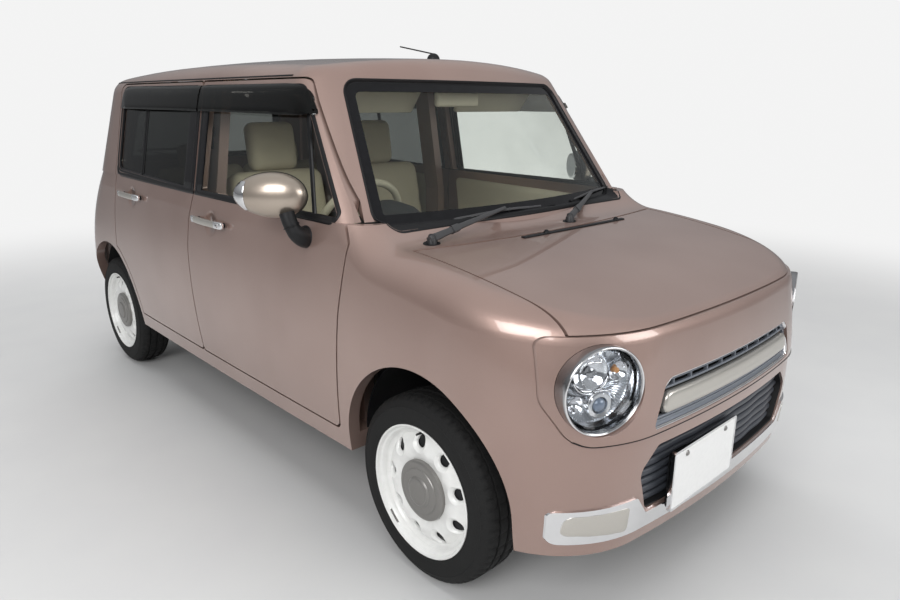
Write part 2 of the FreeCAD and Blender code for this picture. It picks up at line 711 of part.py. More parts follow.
keep("windshield", only_solid(screen_pane.common(along(SCREEN_OUTLINE, seat, nose_y, -size.door_reach))))

tail_start = size.tailgate_front
tailgate = body.common(front_prism(tailgate_outline(0), tail_start, tail_y + 50))
tailgate = only_solid(tailgate.cut(
    [along(TAILGATE_WINDOW, 0, tail_start, tail_y + 50),
     tailgate_notch(-size.tailgate_hinge_x), tailgate_notch(size.tailgate_hinge_x)]))
keep("tailgate", tailgate)
keep("tailgate_glass", only_solid(pane.common(along(TAILGATE_WINDOW, seat, tail_start, tail_y + 50))))

bonnet = only_solid(body.common(bonnet_outline(gap / 2, gap / 2)))
for x in (-size.bonnet_hinge_x, size.bonnet_hinge_x):
    bonnet = bonnet.cut(bonnet_notch(x))
keep("hood", bonnet)

# Nose: bumper below, fenders at the sides, raised face between the lamps
face_block = front_prism(face_outline(0), nose_y - 50, size.front_arch_y)
face_room = front_prism(face_outline(1), nose_y - 50, size.front_arch_y)
hood_room = bonnet_outline(-gap / 2, gap / 2 - size.cowl_gap)
bumper_edge = ((size.front_arch_y, 628, 0), (-1395, 662, 30), (-1470, 676, 60), (-1545, 682, 40),
               (-1625, 702, 0), (nose_y - 60, 702, 0), (nose_y - 60, 0, 0), (size.front_arch_y, 0, 0))
bumper_block = side_prism(bumper_edge, -far, far)
nose_room = block((-far, nose_y - 60, 0), (far, size.fender_rear_y, size.belt_level))
nose_skin = body.common(nose_room)
nose_skin = nose_skin.cut([hood_room, face_room] + openings)
bumper = nose_skin.common(bumper_block)
fender_space = nose_skin.cut(bumper_block)
cowl_block = block((-size.cowl_half_width, size.bonnet_cut_y - size.bonnet_cut_bow - gap,
                    size.face_top), (size.cowl_half_width, size.fender_rear_y, size.belt_level))
fenders = fender_space.cut(cowl_block)
cowl = fender_space.common(cowl_block).cut(along(SCREEN_OUTLINE, 0, nose_y, -size.door_reach))

keep("front_fender_right", min(fenders.Solids, key=lambda solid: solid.CenterOfMass.x))
keep("front_fender_left", max(fenders.Solids, key=lambda solid: solid.CenterOfMass.x))
cowl = only_solid(cowl).fuse([bonnet_arm(-size.bonnet_hinge_x), bonnet_arm(size.bonnet_hinge_x)])
keep("cowl_panel", only_solid(cowl))

lower_opening = both_sides(((0, size.lower_grille_bottom, 0),
                            (size.lower_grille_half - 42, size.lower_grille_bottom, 24),
                            (size.lower_grille_half, size.lower_grille_mid, 40),
                            (size.lower_grille_half - 64, size.lower_grille_top, 24),
                            (0, size.lower_grille_top, 0)))
upper_opening = both_sides(((0, size.upper_grille_bottom, 0),
                            (size.upper_grille_half_low, size.upper_grille_bottom, 16),
                            (size.upper_grille_half_high, size.upper_grille_top, 44),
                            (0, size.upper_grille_top, 0)))
before_nose = nose_y - 50
keep("front_bumper", only_solid(bumper.cut(along(lower_opening, 0, before_nose, size.front_arch_y))))

proud = Vector(0, -size.face_proud, 0)
face_skin = skin.copy()
face_skin.translate(proud)


def lamp_place(shape, sign):
    """Turn a shape made round the Y axis outward by the lamp's toe, and set it at the lamp."""
    shape.rotate(Vector(0, 0, 0), Vector(0, 0, 1), sign * size.lamp_toe)
    shape.translate(Vector(sign * size.lamp_x, nose_y + size.lamp_set_back, size.lamp_height))
    return shape


lamp_bore = Part.makeCylinder(size.lamp_radius + seat, 400, Vector(0, -200, 0), Vector(0, 1, 0))
lamp_holes = [lamp_place(lamp_bore.copy(), sign) for sign in (-1, 1)]
face = face_skin.common(face_block).cut(lamp_holes)
face = face.cut(along(upper_opening, 0, before_nose, size.front_arch_y))
keep("front_panel", only_solid(face))


def behind_nose(depth, thickness):
    """A bowed sheet of the nose's own form, set back by depth."""
    front_form = plan_bow(depth)
    return front_form.cut(plan_bow(depth + thickness))


def plan_bow(depth):
    """A half space behind the nose's bow, as a tall block with a bowed front."""
    back = nose_y + size.mid_nose_back + depth
    half_way = size.face_half_width
    drop = size.nose_bow_radius - math.sqrt(size.nose_bow_radius ** 2 - half_way ** 2)
    left = Vector(half_way, back + drop, 0)
    right = Vector(-half_way, back + drop, 0)
    rear = size.front_arch_y
    wire = Part.Wire([Part.Arc(left, Vector(0, back, 0), right).toShape(),
                      Part.makeLine(right, Vector(-half_way, rear, 0)),
                      Part.makeLine(Vector(-half_way, rear, 0), Vector(half_way, rear, 0)),
                      Part.makeLine(Vector(half_way, rear, 0), left)])
    return Part.Face(wire).extrude(Vector(0, 0, size.belt_level))


# Upper grille: a frame in the face's opening, level slats and a broad bar across them
grille_sheet = behind_nose(4, 30)
upper_outer = along(upper_opening, seat, before_nose, size.front_arch_y)
upper_inner = along(upper_opening, size.grille_frame, before_nose, size.front_arch_y)
slat_sheet = behind_nose(10, 20)
upper = [grille_sheet.common(upper_outer.cut(upper_inner))]
inside_upper = along(upper_opening, size.grille_frame - 2, before_nose, size.front_arch_y)
pitch = (size.upper_grille_top - size.upper_grille_bottom) / (size.slat_count + 1)
for step in range(1, int(size.slat_count) + 1):
    level = size.upper_grille_bottom + step * pitch
    slat = block((-size.face_half_width, before_nose, level - size.slat_thickness / 2),
                 (size.face_half_width, size.front_arch_y, level + size.slat_thickness / 2))
    upper.append(slat_sheet.common(slat).common(inside_upper))
bar_rows = both_sides(((0, size.grille_bar_bottom, 0), (size.grille_bar_half, size.grille_bar_bottom, 20),
                       (size.grille_bar_half - 18, size.grille_bar_top, 20), (0, size.grille_bar_top, 0)))
upper.append(behind_nose(-2, 24).common(along(bar_rows, 0, before_nose, size.front_arch_y)))
keep("upper_grille", upper[0].fuse(upper[1:]).removeSplitter())

# Lower grille: a back plate in the bumper's mouth with level ribs in front of it
lower_outer = along(lower_opening, seat, before_nose, size.front_arch_y)
lower = [behind_nose(34, 6).common(lower_outer)]
pitch = (size.lower_grille_top - size.lower_grille_bottom) / (size.rib_count + 1)
rib_sheet = behind_nose(12, 24)
for step in range(1, int(size.rib_count) + 1):
    level = size.lower_grille_bottom + step * pitch
    rib = block((-size.face_half_width, before_nose, level - size.slat_thickness / 2),
                (size.face_half_width, size.front_arch_y, level + size.slat_thickness / 2))
    lower.append(rib_sheet.common(rib).common(lower_outer))
keep("lower_grille", lower[0].fuse(lower[1:]).removeSplitter())

# Garnish: a thin bowed band on the bumper, under the lower grille and round to the corners
garnish_rows = both_sides(((0, 288, 0), (632, 288, 24), (636, 382, 14),
                           (430, 392, 14), (388, 334, 10), (0, 334, 0)))
moved = outer.copy()
moved.translate(proud)
band = moved.cut(outer).common(front_prism(garnish_rows, before_nose, size.front_arch_y - 160))
keep("bumper_garnish", only_solid(band))

# Lamps: a bowl with a conical reflector, a bezel round its mouth and a domed lens, toed outward


def turned(rows):
    """Turn a closed (radius, depth) outline round the Y axis."""
    points = [Vector(radius, depth, 0) for radius, depth in rows]
    face = Part.Face(Part.makePolygon(points + points[:1]))
    return face.revolve(Vector(0, 0, 0), Vector(0, 1, 0), 360)


rim, lip, back = size.lamp_radius, size.bezel_width, size.lamp_depth
bowl = turned(((rim - lip, 0), (rim - 3, 0), (rim, 4), (rim, 44), (rim - 34, back), (0, back),
               (0, back - 6), (rim - 40, back - 6), (rim - lip - 2, 36), (rim - lip, 22)))
lens_radius = rim - lip - seat
dome_radius = (lens_radius ** 2 + size.lens_crown ** 2) / (2 * size.lens_crown)
lens_apex = size.lens_recess - size.lens_crown
barrel = Part.makeCylinder(lens_radius, size.lens_crown + 10, Vector(0, lens_apex - 1, 0), Vector(0, 1, 0))
dome_centre = Vector(0, lens_apex + dome_radius, 0)
lens = barrel.common(Part.makeSphere(dome_radius, dome_centre)).cut(
    Part.makeSphere(dome_radius - size.glass_thickness, dome_centre))
housings = [lamp_place(bowl.copy(), sign) for sign in (-1, 1)]
lenses = [lamp_place(lens.copy(), sign) for sign in (-1, 1)]
keep("headlamp_housings", Part.makeCompound(housings))
keep("headlamp_lenses", Part.makeCompound(lenses))

# Tail: bumper, lamps at the corners, and the shell that carries every opening
rear_bumper_room = block((-far, size.rear_bumper_front, 0), (far, tail_y + 50, size.rear_bumper_top))
keep("rear_bumper", only_solid(body.common(rear_bumper_room)))
lamp_rows = ((size.tail_lamp_inner_x, size.tail_lamp_bottom, 24), (far, size.tail_lamp_bottom, 0),
             (far, size.tail_lamp_top, 0), (size.tail_lamp_inner_x - 8, size.tail_lamp_top, 24))
tail_block = front_prism(lamp_rows, size.tail_lamp_front, tail_y + 50)
tail_room = [tail_block, mirrored(tail_block)]
lamp_right = body.common(mirrored(tail_block))
keep("tail_lamps", Part.makeCompound([only_solid(lamp_right), mirrored(only_solid(lamp_right))]))

shell = body.cut([nose_room, rear_bumper_room] + tail_room + openings)
shell = shell.cut([front_prism(tailgate_outline(size.tailgate_gap), tail_start, tail_y + 50),
                   along(SCREEN_OUTLINE, 0, nose_y, -size.door_reach)])
well_front = size.front_arch_y + size.front_arch_radius
well_rear = size.rear_arch_y - size.rear_arch_radius
sill_top = size.door_bottom - gap - 6
sill = block((-size.low_half_width + size.wall / 2, well_front, size.sill_bottom),
             (-size.sill_inner_x, well_rear, sill_top)).cut(arches)
post_knee = size.belt_level - size.post_drop
post_head = size.drip_level + size.post_rise
post_wire = Part.makePolygon([Vector(x, size.post_front_y, z) for x, z in (
    (-size.post_foot_x, size.sill_bottom), (-size.post_foot_x, post_knee), (-size.post_head_x, post_head),
    (-size.post_head_x + size.wall, post_head), (-size.post_foot_x + size.wall, post_knee),
    (-size.post_foot_x + size.wall, size.sill_bottom), (-size.post_foot_x, size.sill_bottom))])
post = Part.Face(post_wire).extrude(Vector(0, size.post_width, 0)).common(outer)
hinge_post = block((-size.post_foot_x, size.front_hinge_y - size.hinge_post_width / 2, size.sill_bottom),
                   (-size.post_foot_x + size.wall, size.front_hinge_y + size.hinge_post_width / 2,
                    size.bulkhead_top))
side_frame = [sill, post, hinge_post]
for hinge_y in (size.front_hinge_y, size.rear_hinge_y):
    side_frame += [door_bracket(hinge_y, level) for level in HINGE_LEVELS]
shell = only_solid(shell)
shell = shell.fuse(side_frame + [mirrored(piece) for piece in side_frame]
                   + [tailgate_arm(-size.tailgate_hinge_x), tailgate_arm(size.tailgate_hinge_x)])
keep("cabin_shell", only_solid(shell))

# Wheel wells: arch centre y, arch centre height, arch radius, inner wall
WELLS = ((size.front_arch_y, size.front_arch_height, size.front_arch_radius, size.well_inner_x),
         (size.rear_arch_y, size.rear_arch_height, size.rear_arch_radius, size.rear_well_inner_x))

# Floor: pan with tunnel, bulkhead, front rails and the inner walls of the rear wheel wells
floor_low = size.floor_top - size.floor_thickness
pan = block((-size.sill_inner_x + seat, size.bulkhead_y, floor_low),
            (size.sill_inner_x - seat, size.bumper_beam_rear_y, size.floor_top))
well_cuts = []
for sign in (-1, 1):
    for y, height, radius, well_x in WELLS:
        low_x, high_x = sorted((sign * (well_x - 6), sign * far))
        well_cuts.append(arch_cut(y, height, radius + 12, low_x, high_x))
tunnel = block((-size.tunnel_half_width, size.bulkhead_y, floor_low),
               (size.tunnel_half_width, size.seat_rear_y, floor_low + size.tunnel_height))
tunnel_hollow = block((-size.tunnel_half_width + size.floor_thickness, size.bulkhead_y, 0),
                      (size.tunnel_half_width - size.floor_thickness, size.seat_rear_y,
                       floor_low + size.tunnel_height - size.floor_thickness))
bulkhead = block((-size.sill_inner_x + seat, size.bulkhead_y, floor_low),
                 (size.sill_inner_x - seat, size.bulkhead_y + size.floor_thickness, size.bulkhead_top))
rails = [block((sign * size.rail_x - 18, size.rail_front_y, size.rail_bottom),
               (sign * size.rail_x + 18, size.bulkhead_y, size.rail_bottom + size.rail_height))
         for sign in (-1, 1)]
beam = block((-size.rail_x - 120, size.rail_front_y, 410), (size.rail_x + 120, size.rail_front_y + 24, 510))
floor = pan.fuse([tunnel, bulkhead, beam] + rails).cut([tunnel_hollow] + well_cuts)
eye_low = floor_low - size.eye_width
rear_eye = block((size.eye_x, size.rear_eye_y, eye_low),
                 (size.eye_x + size.eye_thickness, size.rear_eye_y + size.eye_width, floor_low + 2))
rear_eye = rear_eye.cut(across_cylinder(size.eye_bore_radius, size.eye_x - 1,
                                        size.eye_x + size.eye_thickness + 1,
                                        size.rear_eye_y + size.eye_width / 2,
                                        eye_low + size.eye_width / 2))
floor = floor.fuse(rear_eye)
keep("floor_pan", only_solid(floor.removeSplitter()))

# Wheel wells: an arched liner over each wheel, closed on its inner side and clear of the skin
liner_room = outer_form(size.wall + size.liner_gap)
liners = []
for sign in (-1, 1):
    for y, height, radius, well_x in WELLS:
        low_x, high_x = sorted((sign * well_x, sign * size.liner_outer_x))
        wall_low, wall_high = sorted((sign * well_x, sign * (well_x + size.liner_thickness)))
        solid = across_cylinder(radius + 6 + size.liner_thickness, low_x, high_x, y, height)
        hollow = across_cylinder(radius + 6, low_x - 1, high_x + 1, y, height)
        behind = min(y + radius + 20, size.rear_bumper_front - size.liner_thickness)
        above = block((low_x, y - radius - 20, sill_top + seat), (high_x, behind, size.belt_level))
        wall = across_cylinder(radius + 6.5, wall_low, wall_high, y, height)
        liners.append(only_solid(solid.cut(hollow).fuse(wall).common(above).common(liner_room)))
keep("wheel_liners", Part.makeCompound(liners))


# Wheels: a tyre and a dished steel rim are turned round the axle; the rim's windows repeat

def evaluate(words):
    return float(sheet.evalExpression(words))


def sketch_loop(body, name, role, rows):
    """A closed sketch of straight lines whose corners are bound to expressions (across, up)."""
    sketch = body.newObject("Sketcher::SketchObject", name)
    plane = [item for item in body.Origin.OriginFeatures if item.Role == role][0]
    sketch.AttachmentSupport = [(plane, "")]
    sketch.MapMode = "FlatFace"
    values = [(evaluate(across_words), evaluate(up_words)) for across_words, up_words in rows]
    count = len(values)
    for index in range(count):
        first, second = values[index], values[(index + 1) % count]
        sketch.addGeometry(Part.LineSegment(Vector(first[0], first[1], 0),
                                            Vector(second[0], second[1], 0)), False)
    for index in range(count):
        sketch.addConstraint(Sketcher.Constraint("Coincident", index, 2, (index + 1) % count, 1))
    for index, (across_words, up_words) in enumerate(rows):
        for kind, words, value in (("DistanceX", across_words, values[index][0]),
                                   ("DistanceY", up_words, values[index][1])):
            number = sketch.addConstraint(Sketcher.Constraint(kind, -1, 1, index, 1, value))
            sketch.setExpression("Constraints[%d]" % number, sheet_words(words))
    return sketch


def turned_body(name, rows):
    """A PartDesign body turned round its own X axis from a profile (across, radius)."""
    body = document.addObject("PartDesign::Body", name)
    sketch = sketch_loop(body, name + "_profile", "XY_Plane", rows)
    turn = body.newObject("PartDesign::Revolution", name + "_turn")
    turn.Profile = sketch
    turn.ReferenceAxis = (sketch, ["H_Axis"])
    turn.Angle = 360
    sketch.Visibility = False
    body.Tip = turn
    return body


# Profiles are written from the wheel's centre plane outward, for a wheel on the left side
TYRE_PROFILE = (
    ("-tyre_width * 0.40", "rim_seat_radius"), ("-tyre_width * 0.49", "rim_seat_radius + 26"),
    ("-tyre_width * 0.50", "rim_seat_radius + 52"), ("-tyre_width * 0.46", "tyre_radius - 22"),
    ("-tyre_width * 0.36", "tyre_radius - 3"), ("0", "tyre_radius"),
    ("tyre_width * 0.36", "tyre_radius - 3"), ("tyre_width * 0.46", "tyre_radius - 22"),
    ("tyre_width * 0.50", "rim_seat_radius + 52"), ("tyre_width * 0.49", "rim_seat_radius + 26"),
    ("tyre_width * 0.40", "rim_seat_radius"))
RIM_PROFILE = (
    ("-tyre_width * 0.46", "rim_seat_radius - seat_gap"), ("-tyre_width * 0.46", "rim_seat_radius - 12"),
    ("disc_back", "rim_seat_radius - 26"), ("disc_back - 6", "rim_seat_radius - 34"),
    ("disc_back + 14", "cap_radius + 6"), ("disc_back + 2", "cap_radius - 6"),
    ("disc_back + 2", "hub_bore_radius"), ("disc_back + 40", "hub_bore_radius"),
    ("disc_back + 40", "cap_radius - 34"), ("disc_back + 26", "cap_radius - 10"),
    ("disc_back + 24", "cap_radius"), ("disc_back + 26", "cap_radius + 8"),
    ("disc_back + 14", "rim_seat_radius - 28"), ("tyre_width * 0.36", "rim_seat_radius - 16"),
    ("tyre_width * 0.46", "rim_seat_radius - 10"), ("tyre_width * 0.46", "rim_seat_radius - seat_gap"))


def wheel_rim(name):
    body = turned_body(name, RIM_PROFILE)
    document.recompute()
    hole = body.newObject("Sketcher::SketchObject", name + "_window")
    plane = [item for item in body.Origin.OriginFeatures if item.Role == "YZ_Plane"][0]
    hole.AttachmentSupport = [(plane, "")]
    hole.MapMode = "FlatFace"
    centre, major, minor = evaluate("hole_circle"), evaluate("hole_length / 2"), evaluate("hole_width / 2")
    run = major - minor
    half_turn = math.pi
    near, out = centre - minor, centre + minor
    upward = Vector(0, 0, 1)
    loop = (Part.ArcOfCircle(Part.Circle(Vector(centre, run, 0), upward, minor), 0, half_turn),
            Part.LineSegment(Vector(near, run, 0), Vector(near, -run, 0)),
            Part.ArcOfCircle(Part.Circle(Vector(centre, -run, 0), upward, minor), half_turn,
                             2 * half_turn),
            Part.LineSegment(Vector(out, -run, 0), Vector(out, run, 0)))
    for curve in loop:
        hole.addGeometry(curve, False)
    for first, first_end, second, second_end in ((0, 2, 1, 1), (1, 2, 2, 1), (2, 2, 3, 1), (3, 2, 0, 1)):
        hole.addConstraint(Sketcher.Constraint("Tangent", first, first_end, second, second_end))
    hole.addConstraint(Sketcher.Constraint("Vertical", 3))
    hole.addConstraint(Sketcher.Constraint("Symmetric", 0, 3, 2, 3, -1))
    for kind, words, where in (("DistanceX", "hole_circle", (-1, 1, 0, 3)),
                               ("DistanceY", "hole_length / 2 - hole_width / 2", (-1, 1, 0, 3)),
                               ("Radius", "hole_width / 2", (0,))):
        number = hole.addConstraint(Sketcher.Constraint(kind, *where, evaluate(words)))
        hole.setExpression("Constraints[%d]" % number, sheet_words(words))
    pocket = body.newObject("PartDesign::Pocket", name + "_pocket")
    pocket.Profile = hole
    pocket.Type = 1
    pocket.Midplane = True
    document.recompute()
    ring = body.newObject("PartDesign::PolarPattern", name + "_windows")
    ring.Originals = [pocket]
    ring.Axis = (body.Origin.OriginFeatures[0], [""])
    ring.Angle = 360
    ring.setExpression("Occurrences", sheet_words("hole_count"))
    body.Tip = ring
    hole.Visibility = False
    return body


front_y_words = "front_overhang - car_length / 2"
rear_y_words = "front_overhang - car_length / 2 + wheelbase"
WHEELS = (
    # name, side, axle position
    ("front_right", -1, front_y_words), ("front_left", 1, front_y_words),
    ("rear_right", -1, rear_y_words), ("rear_left", 1, rear_y_words))
for place, side, axle_words in WHEELS:
    for kind, build in (("tyre", lambda name: turned_body(name, TYRE_PROFILE)), ("wheel", wheel_rim)):
        name = kind + "_" + place
        body = build(name)
        if side < 0:
            body.Placement.Rotation = FreeCAD.Rotation(Vector(0, 0, 1), 180)
        body.setExpression("Placement.Base.x", sheet_words("%d * wheel_centre_x" % side))
        body.setExpression("Placement.Base.y", sheet_words(axle_words))
        body.setExpression("Placement.Base.z", sheet_words("tyre_radius"))
        node(body, name)
document.recompute()


def cylinder(name, place, axis, radius, height):
    """A bound cylinder from place along axis x, y or z."""
    thing = primitive("Cylinder", name, place, Radius=radius, Height=height)
    turn = {"x": FreeCAD.Rotation(Vector(0, 1, 0), 90), "y": FreeCAD.Rotation(Vector(1, 0, 0), -90),
            "z": FreeCAD.Rotation()}[axis]
    thing.Placement.Rotation = turn
    return thing


def bound_box(name, low, lengths):
    return primitive("Box", name, low, Length=lengths[0], Width=lengths[1], Height=lengths[2])


# Steering knuckles: an upright, a hub axle and a ball stud on the kingpin's line
for place, side, axle_words in WHEELS[:2]:
    name = "knuckle_" + place
    upright = bound_box(name + "_upright", ("%d * kingpin_x - 22" % side, axle_words + " - 40",
                                            "arm_level + seat_gap"),
                        ("44", "80", "2 * (tyre_radius - arm_level - seat_gap)"))
    low_x = "kingpin_x + 20" if side > 0 else "-axle_end_x"
    axle = cylinder(name + "_axle", (low_x, axle_words, "tyre_radius"), "x",
                    "hub_bore_radius - seat_gap", "axle_end_x - kingpin_x - 20")
    joined = join("MultiFuse", name, upright, axle)
    node(joined, name)

# Front suspension: cross member, lower arms to the ball studs, and the two struts
pieces = [bound_box("cross_member", ("-subframe_half_width", front_y_words + " - 60", "arm_level - 12"),
                    ("2 * subframe_half_width", "120", "engine_bottom - arm_level + 12 - seat_gap"))]
for place, side, axle_words in WHEELS[:2]:
    pieces.append(bound_box("mount_" + place, ("%d * rail_x - 16" % side, axle_words + " - 60",
                                               "arm_level - 12"),
                            ("32", "120", "rail_bottom - arm_level + 12 - seat_gap")))
    low_x = "subframe_half_width - 10" if side > 0 else "-kingpin_x - 18"
    pieces.append(bound_box("arm_" + place, (low_x, axle_words + " - 18", "arm_level - 22"),
                            ("kingpin_x + 28 - subframe_half_width", "36", "22")))
    pieces.append(cylinder("strut_" + place, ("%d * strut_x" % side, axle_words, "arm_level - 4"), "z", "24",
                           "strut_top - arm_level"))
eye_plate = bound_box("front_eye_plate", ("eye_x", front_y_words + " - 58 - eye_width", "arm_level - 12"),
                      ("eye_thickness", "eye_width", "eye_width"))
eye_bore = cylinder("front_eye_bore", ("eye_x - 1", front_y_words + " - 60 - eye_width / 2",
                                       "arm_level - 12 + eye_width / 2"), "x", "eye_bore_radius",
                    "eye_thickness + 2")
pieces.append(join("Cut", "front_eye", eye_plate, eye_bore))
node(join("MultiFuse", "front_suspension", *pieces), "front_suspension")

# Rear axle: a beam with trailing arms that end under the floor, and two hub axles
pieces = [cylinder("rear_beam", ("-rear_beam_half", rear_y_words + " - beam_lead", "beam_level"), "x", "24",
                   "2 * rear_beam_half")]
for place, side, axle_words in WHEELS[2:]:
    low_x = "rear_beam_half - 46" if side > 0 else "-rear_beam_half"
    arm_foot = (low_x, axle_words + " - trailing_reach", "beam_level - 24")
    pieces.append(bound_box("trailing_" + place, arm_foot, ("46", "trailing_reach + 46", "48")))
    pieces.append(bound_box("bush_" + place, arm_foot,
                            ("46", "70", "floor_top - floor_thickness - beam_level + 24 - seat_gap")))
    pieces.append(bound_box("carrier_" + place, (low_x, axle_words + " - 46", "beam_level - 24"),
                            ("46", "92", "tyre_radius - beam_level + 70")))
    low_x = "rear_beam_half - 10" if side > 0 else "-axle_end_x"
    pieces.append(cylinder("rear_stub_" + place, (low_x, axle_words, "tyre_radius"), "x",
                           "hub_bore_radius - seat_gap", "axle_end_x - rear_beam_half + 10"))
node(join("MultiFuse", "rear_axle", *pieces), "rear_axle")

node(bound_box("engine_block", ("-engine_half_width", front_y_words + " - engine_front", "engine_bottom"),
               ("2 * engine_half_width", "engine_length", "engine_height")), "engine_block")
node(bound_box("fuel_tank", ("-tank_half_width", "tank_front_y",
                             "floor_top - floor_thickness - tank_height - seat_gap"),
               ("2 * tank_half_width", "tank_length", "tank_height")), "fuel_tank")

pipe = cylinder("exhaust_pipe", ("exhaust_x", front_y_words + " + 120", "exhaust_level"), "y",
                "exhaust_radius", "muffler_y - (" + front_y_words + ") - 110")
muffler = cylinder("muffler", ("exhaust_x", "muffler_y", "exhaust_level"), "y", "muffler_radius",
                   "muffler_length")
tip = cylinder("exhaust_tip", ("exhaust_x", "muffler_y + muffler_length - 10", "exhaust_level"), "y",
               "exhaust_radius", "car_length / 2 - muffler_y - muffler_length - 20")
hanger = bound_box("exhaust_hanger", ("exhaust_x - 12", "muffler_y + 60", "exhaust_level"),
                   ("24", "60", "floor_top - floor_thickness - exhaust_level - seat_gap"))
node(join("MultiFuse", "exhaust", pipe, muffler, tip, hanger), "exhaust")


# Cabin: dashboard, wheel, seats, visors

def cushion(low, high, radius):
    """A stuffed block with every edge rounded."""
    solid = block(low, high)
    return solid.makeFillet(radius, solid.Edges)


def leaned(shape, pivot, degrees):
    shape.rotate(pivot, Vector(1, 0, 0), degrees)
    return shape


dash_front = size.bulkhead_y + size.floor_thickness + seat
dash_rows = ((dash_front, size.dash_top - 30, 0), (dash_front + 120, size.dash_top, 60),
             (size.dash_rear_y, size.dash_top - 40, 50), (size.dash_rear_y - 20, size.dash_bottom + 60, 60),
             (dash_front + 60, size.dash_bottom, 40), (dash_front, size.dash_bottom + 60, 0))
dash = side_prism(dash_rows, -size.dash_half_width, size.dash_half_width)

tilt = size.column_tilt
ring = Part.makeTorus(size.steering_radius, size.steering_grip)
hub = Part.makeCylinder(52, 40, Vector(0, 0, -34))
spokes = block((-size.steering_radius, -18, -22), (size.steering_radius, 18, -6))
stalk = Part.makeCylinder(size.column_radius, size.column_length, Vector(0, 0, -size.column_length))
sleeve = Part.makeCylinder(size.column_radius + seat, size.column_length + 1,
                           Vector(0, 0, -size.column_length - 1))
steering = ring.fuse([hub, spokes.common(Part.makeCylinder(size.steering_radius, 60, Vector(0, 0, -30))),
                      stalk])
for shape in (steering, sleeve):
    shape.rotate(Vector(0, 0, 0), Vector(1, 0, 0), -tilt)
    shape.translate(Vector(-size.driver_x, size.steering_y, size.steering_height))
keep("steering_wheel", steering)
keep("dashboard", dash.cut(sleeve))

seats = []
for side in (-1, 1):
    x = side * size.driver_x
    half_seat = size.seat_width / 2
    base = block((x - half_seat + 60, size.seat_front_y + 60, size.floor_top + seat),
                 (x + half_seat - 60, size.seat_front_y + size.seat_length - 60, size.cushion_bottom + 20))
    pad = cushion((x - half_seat, size.seat_front_y, size.cushion_bottom),
                  (x + half_seat, size.seat_front_y + size.seat_length, size.cushion_top), 40)
    back_y = size.seat_front_y + size.seat_length - size.back_thickness
    back = cushion((x - half_seat + 10, back_y, size.cushion_top - 90),
                   (x + half_seat - 10, back_y + size.back_thickness, size.back_top), 44)
    head = cushion((x - size.headrest_width / 2, back_y + 10, size.back_top + 12),
                   (x + size.headrest_width / 2, back_y + size.back_thickness - 12, size.headrest_top), 40)
    posts = [Part.makeCylinder(6, 50, Vector(x + shift, back_y + size.back_thickness / 2,
                                             size.back_top - 20)) for shift in (-55, 55)]
    pivot = Vector(x, back_y + size.back_thickness / 2, size.cushion_top - 60)
    upper = [leaned(shape, pivot, -size.back_lean) for shape in [back, head] + posts]
    seats.append(base.fuse([pad] + upper))
keep("front_seats", Part.makeCompound(seats))

rear_half = size.rear_seat_half_width
bench_front = size.rear_seat_front_y
bench = cushion((-rear_half, bench_front, size.cushion_bottom), (rear_half, bench_front + 470,
                                                                 size.cushion_top - 10), 40)
bench_base = block((-rear_half + 40, bench_front + 60, size.floor_top + seat),
                   (rear_half - 40, bench_front + 400, size.cushion_bottom + 20))
rear_back_y = bench_front + 400
rest = cushion((-rear_half, rear_back_y, size.cushion_top - 80), (rear_half, rear_back_y + 110,
                                                                   size.back_top - 60), 40)
pivot = Vector(0, rear_back_y + 50, size.cushion_top - 60)
uppers = [rest]
for side in (-1, 1):
    x = side * size.driver_x
    uppers.append(cushion((x - 110, rear_back_y + 10, size.back_top - 50),
                          (x + 110, rear_back_y + 100, size.headrest_top - 90), 36))
    uppers += [Part.makeCylinder(6, 40, Vector(x + shift, rear_back_y + 55, size.back_top - 80))
               for shift in (-50, 50)]
uppers = [leaned(shape, pivot, -size.back_lean) for shape in uppers]
keep("rear_seat", bench_base.fuse([bench] + uppers))

visors = []
for side in (-1, 1):
    visor = cushion((side * size.driver_x - 190, -14, -145), (side * size.driver_x + 190, 4, -5), 6)
    visor.rotate(Vector(0, 0, 0), Vector(1, 0, 0), 38)
    visor.translate(Vector(0, size.visor_y, size.visor_height))
    visors.append(visor)
mirror_glass = cushion((-105, size.visor_y - 60, size.visor_height - 100),
                       (105, size.visor_y - 36, size.visor_height - 36), 11)
stem = block((-12, size.visor_y - 50, size.visor_height - 60),
             (12, size.visor_y - 26, size.roof_height)).common(inner.translated(Vector(0, 0, -seat)))
keep("sun_visors", Part.makeCompound(visors + [mirror_glass.fuse(stem)]))


# Outside small pieces: door mirrors, wipers, plate and aerial
# The door mirrors are folded back: the long shell leans to the tail by the fold angle
mirror_shell = primitive("Ellipsoid", "mirror_shell", ("mirror_x", "mirror_y", "mirror_level"),
                         Radius1="mirror_half_height", Radius2="mirror_half_width",
                         Radius3="mirror_half_depth", Angle1="-90", Angle2="90", Angle3="360")
mirror_shell.Placement = FreeCAD.Placement(Vector(), FreeCAD.Rotation(Vector(0, 0, 1), 0))
mirror_shell.setExpression("Placement.Rotation.Angle", sheet_words("mirror_fold"))
mirror_arm = cylinder("mirror_arm", ("mirror_arm_x", "mirror_foot_y", "mirror_foot_level"),
                      "z", "22", "mirror_level - mirror_foot_level - 20")
mirror_foot = cylinder("mirror_foot", ("mirror_foot_x", "mirror_foot_y", "mirror_foot_level + 12"),
                       "x", "26", "mirror_arm_x + 8 - mirror_foot_x")
mirror_form = join("MultiFuse", "mirror_form", mirror_shell, mirror_arm, mirror_foot)
door_face = document.addObject("Part::Feature", "door_face")
door_face.Shape = outer.common(block((size.door_reach, size.bulkhead_y - 200, size.mid_level),
                                     (far, 0, size.roof_height)))
door_face.setExpression("Placement.Base.x", sheet_words("seat_gap"))
left_mirror = join("Cut", "door_mirror_left", mirror_form, door_face)
node(left_mirror, "door_mirror_left")
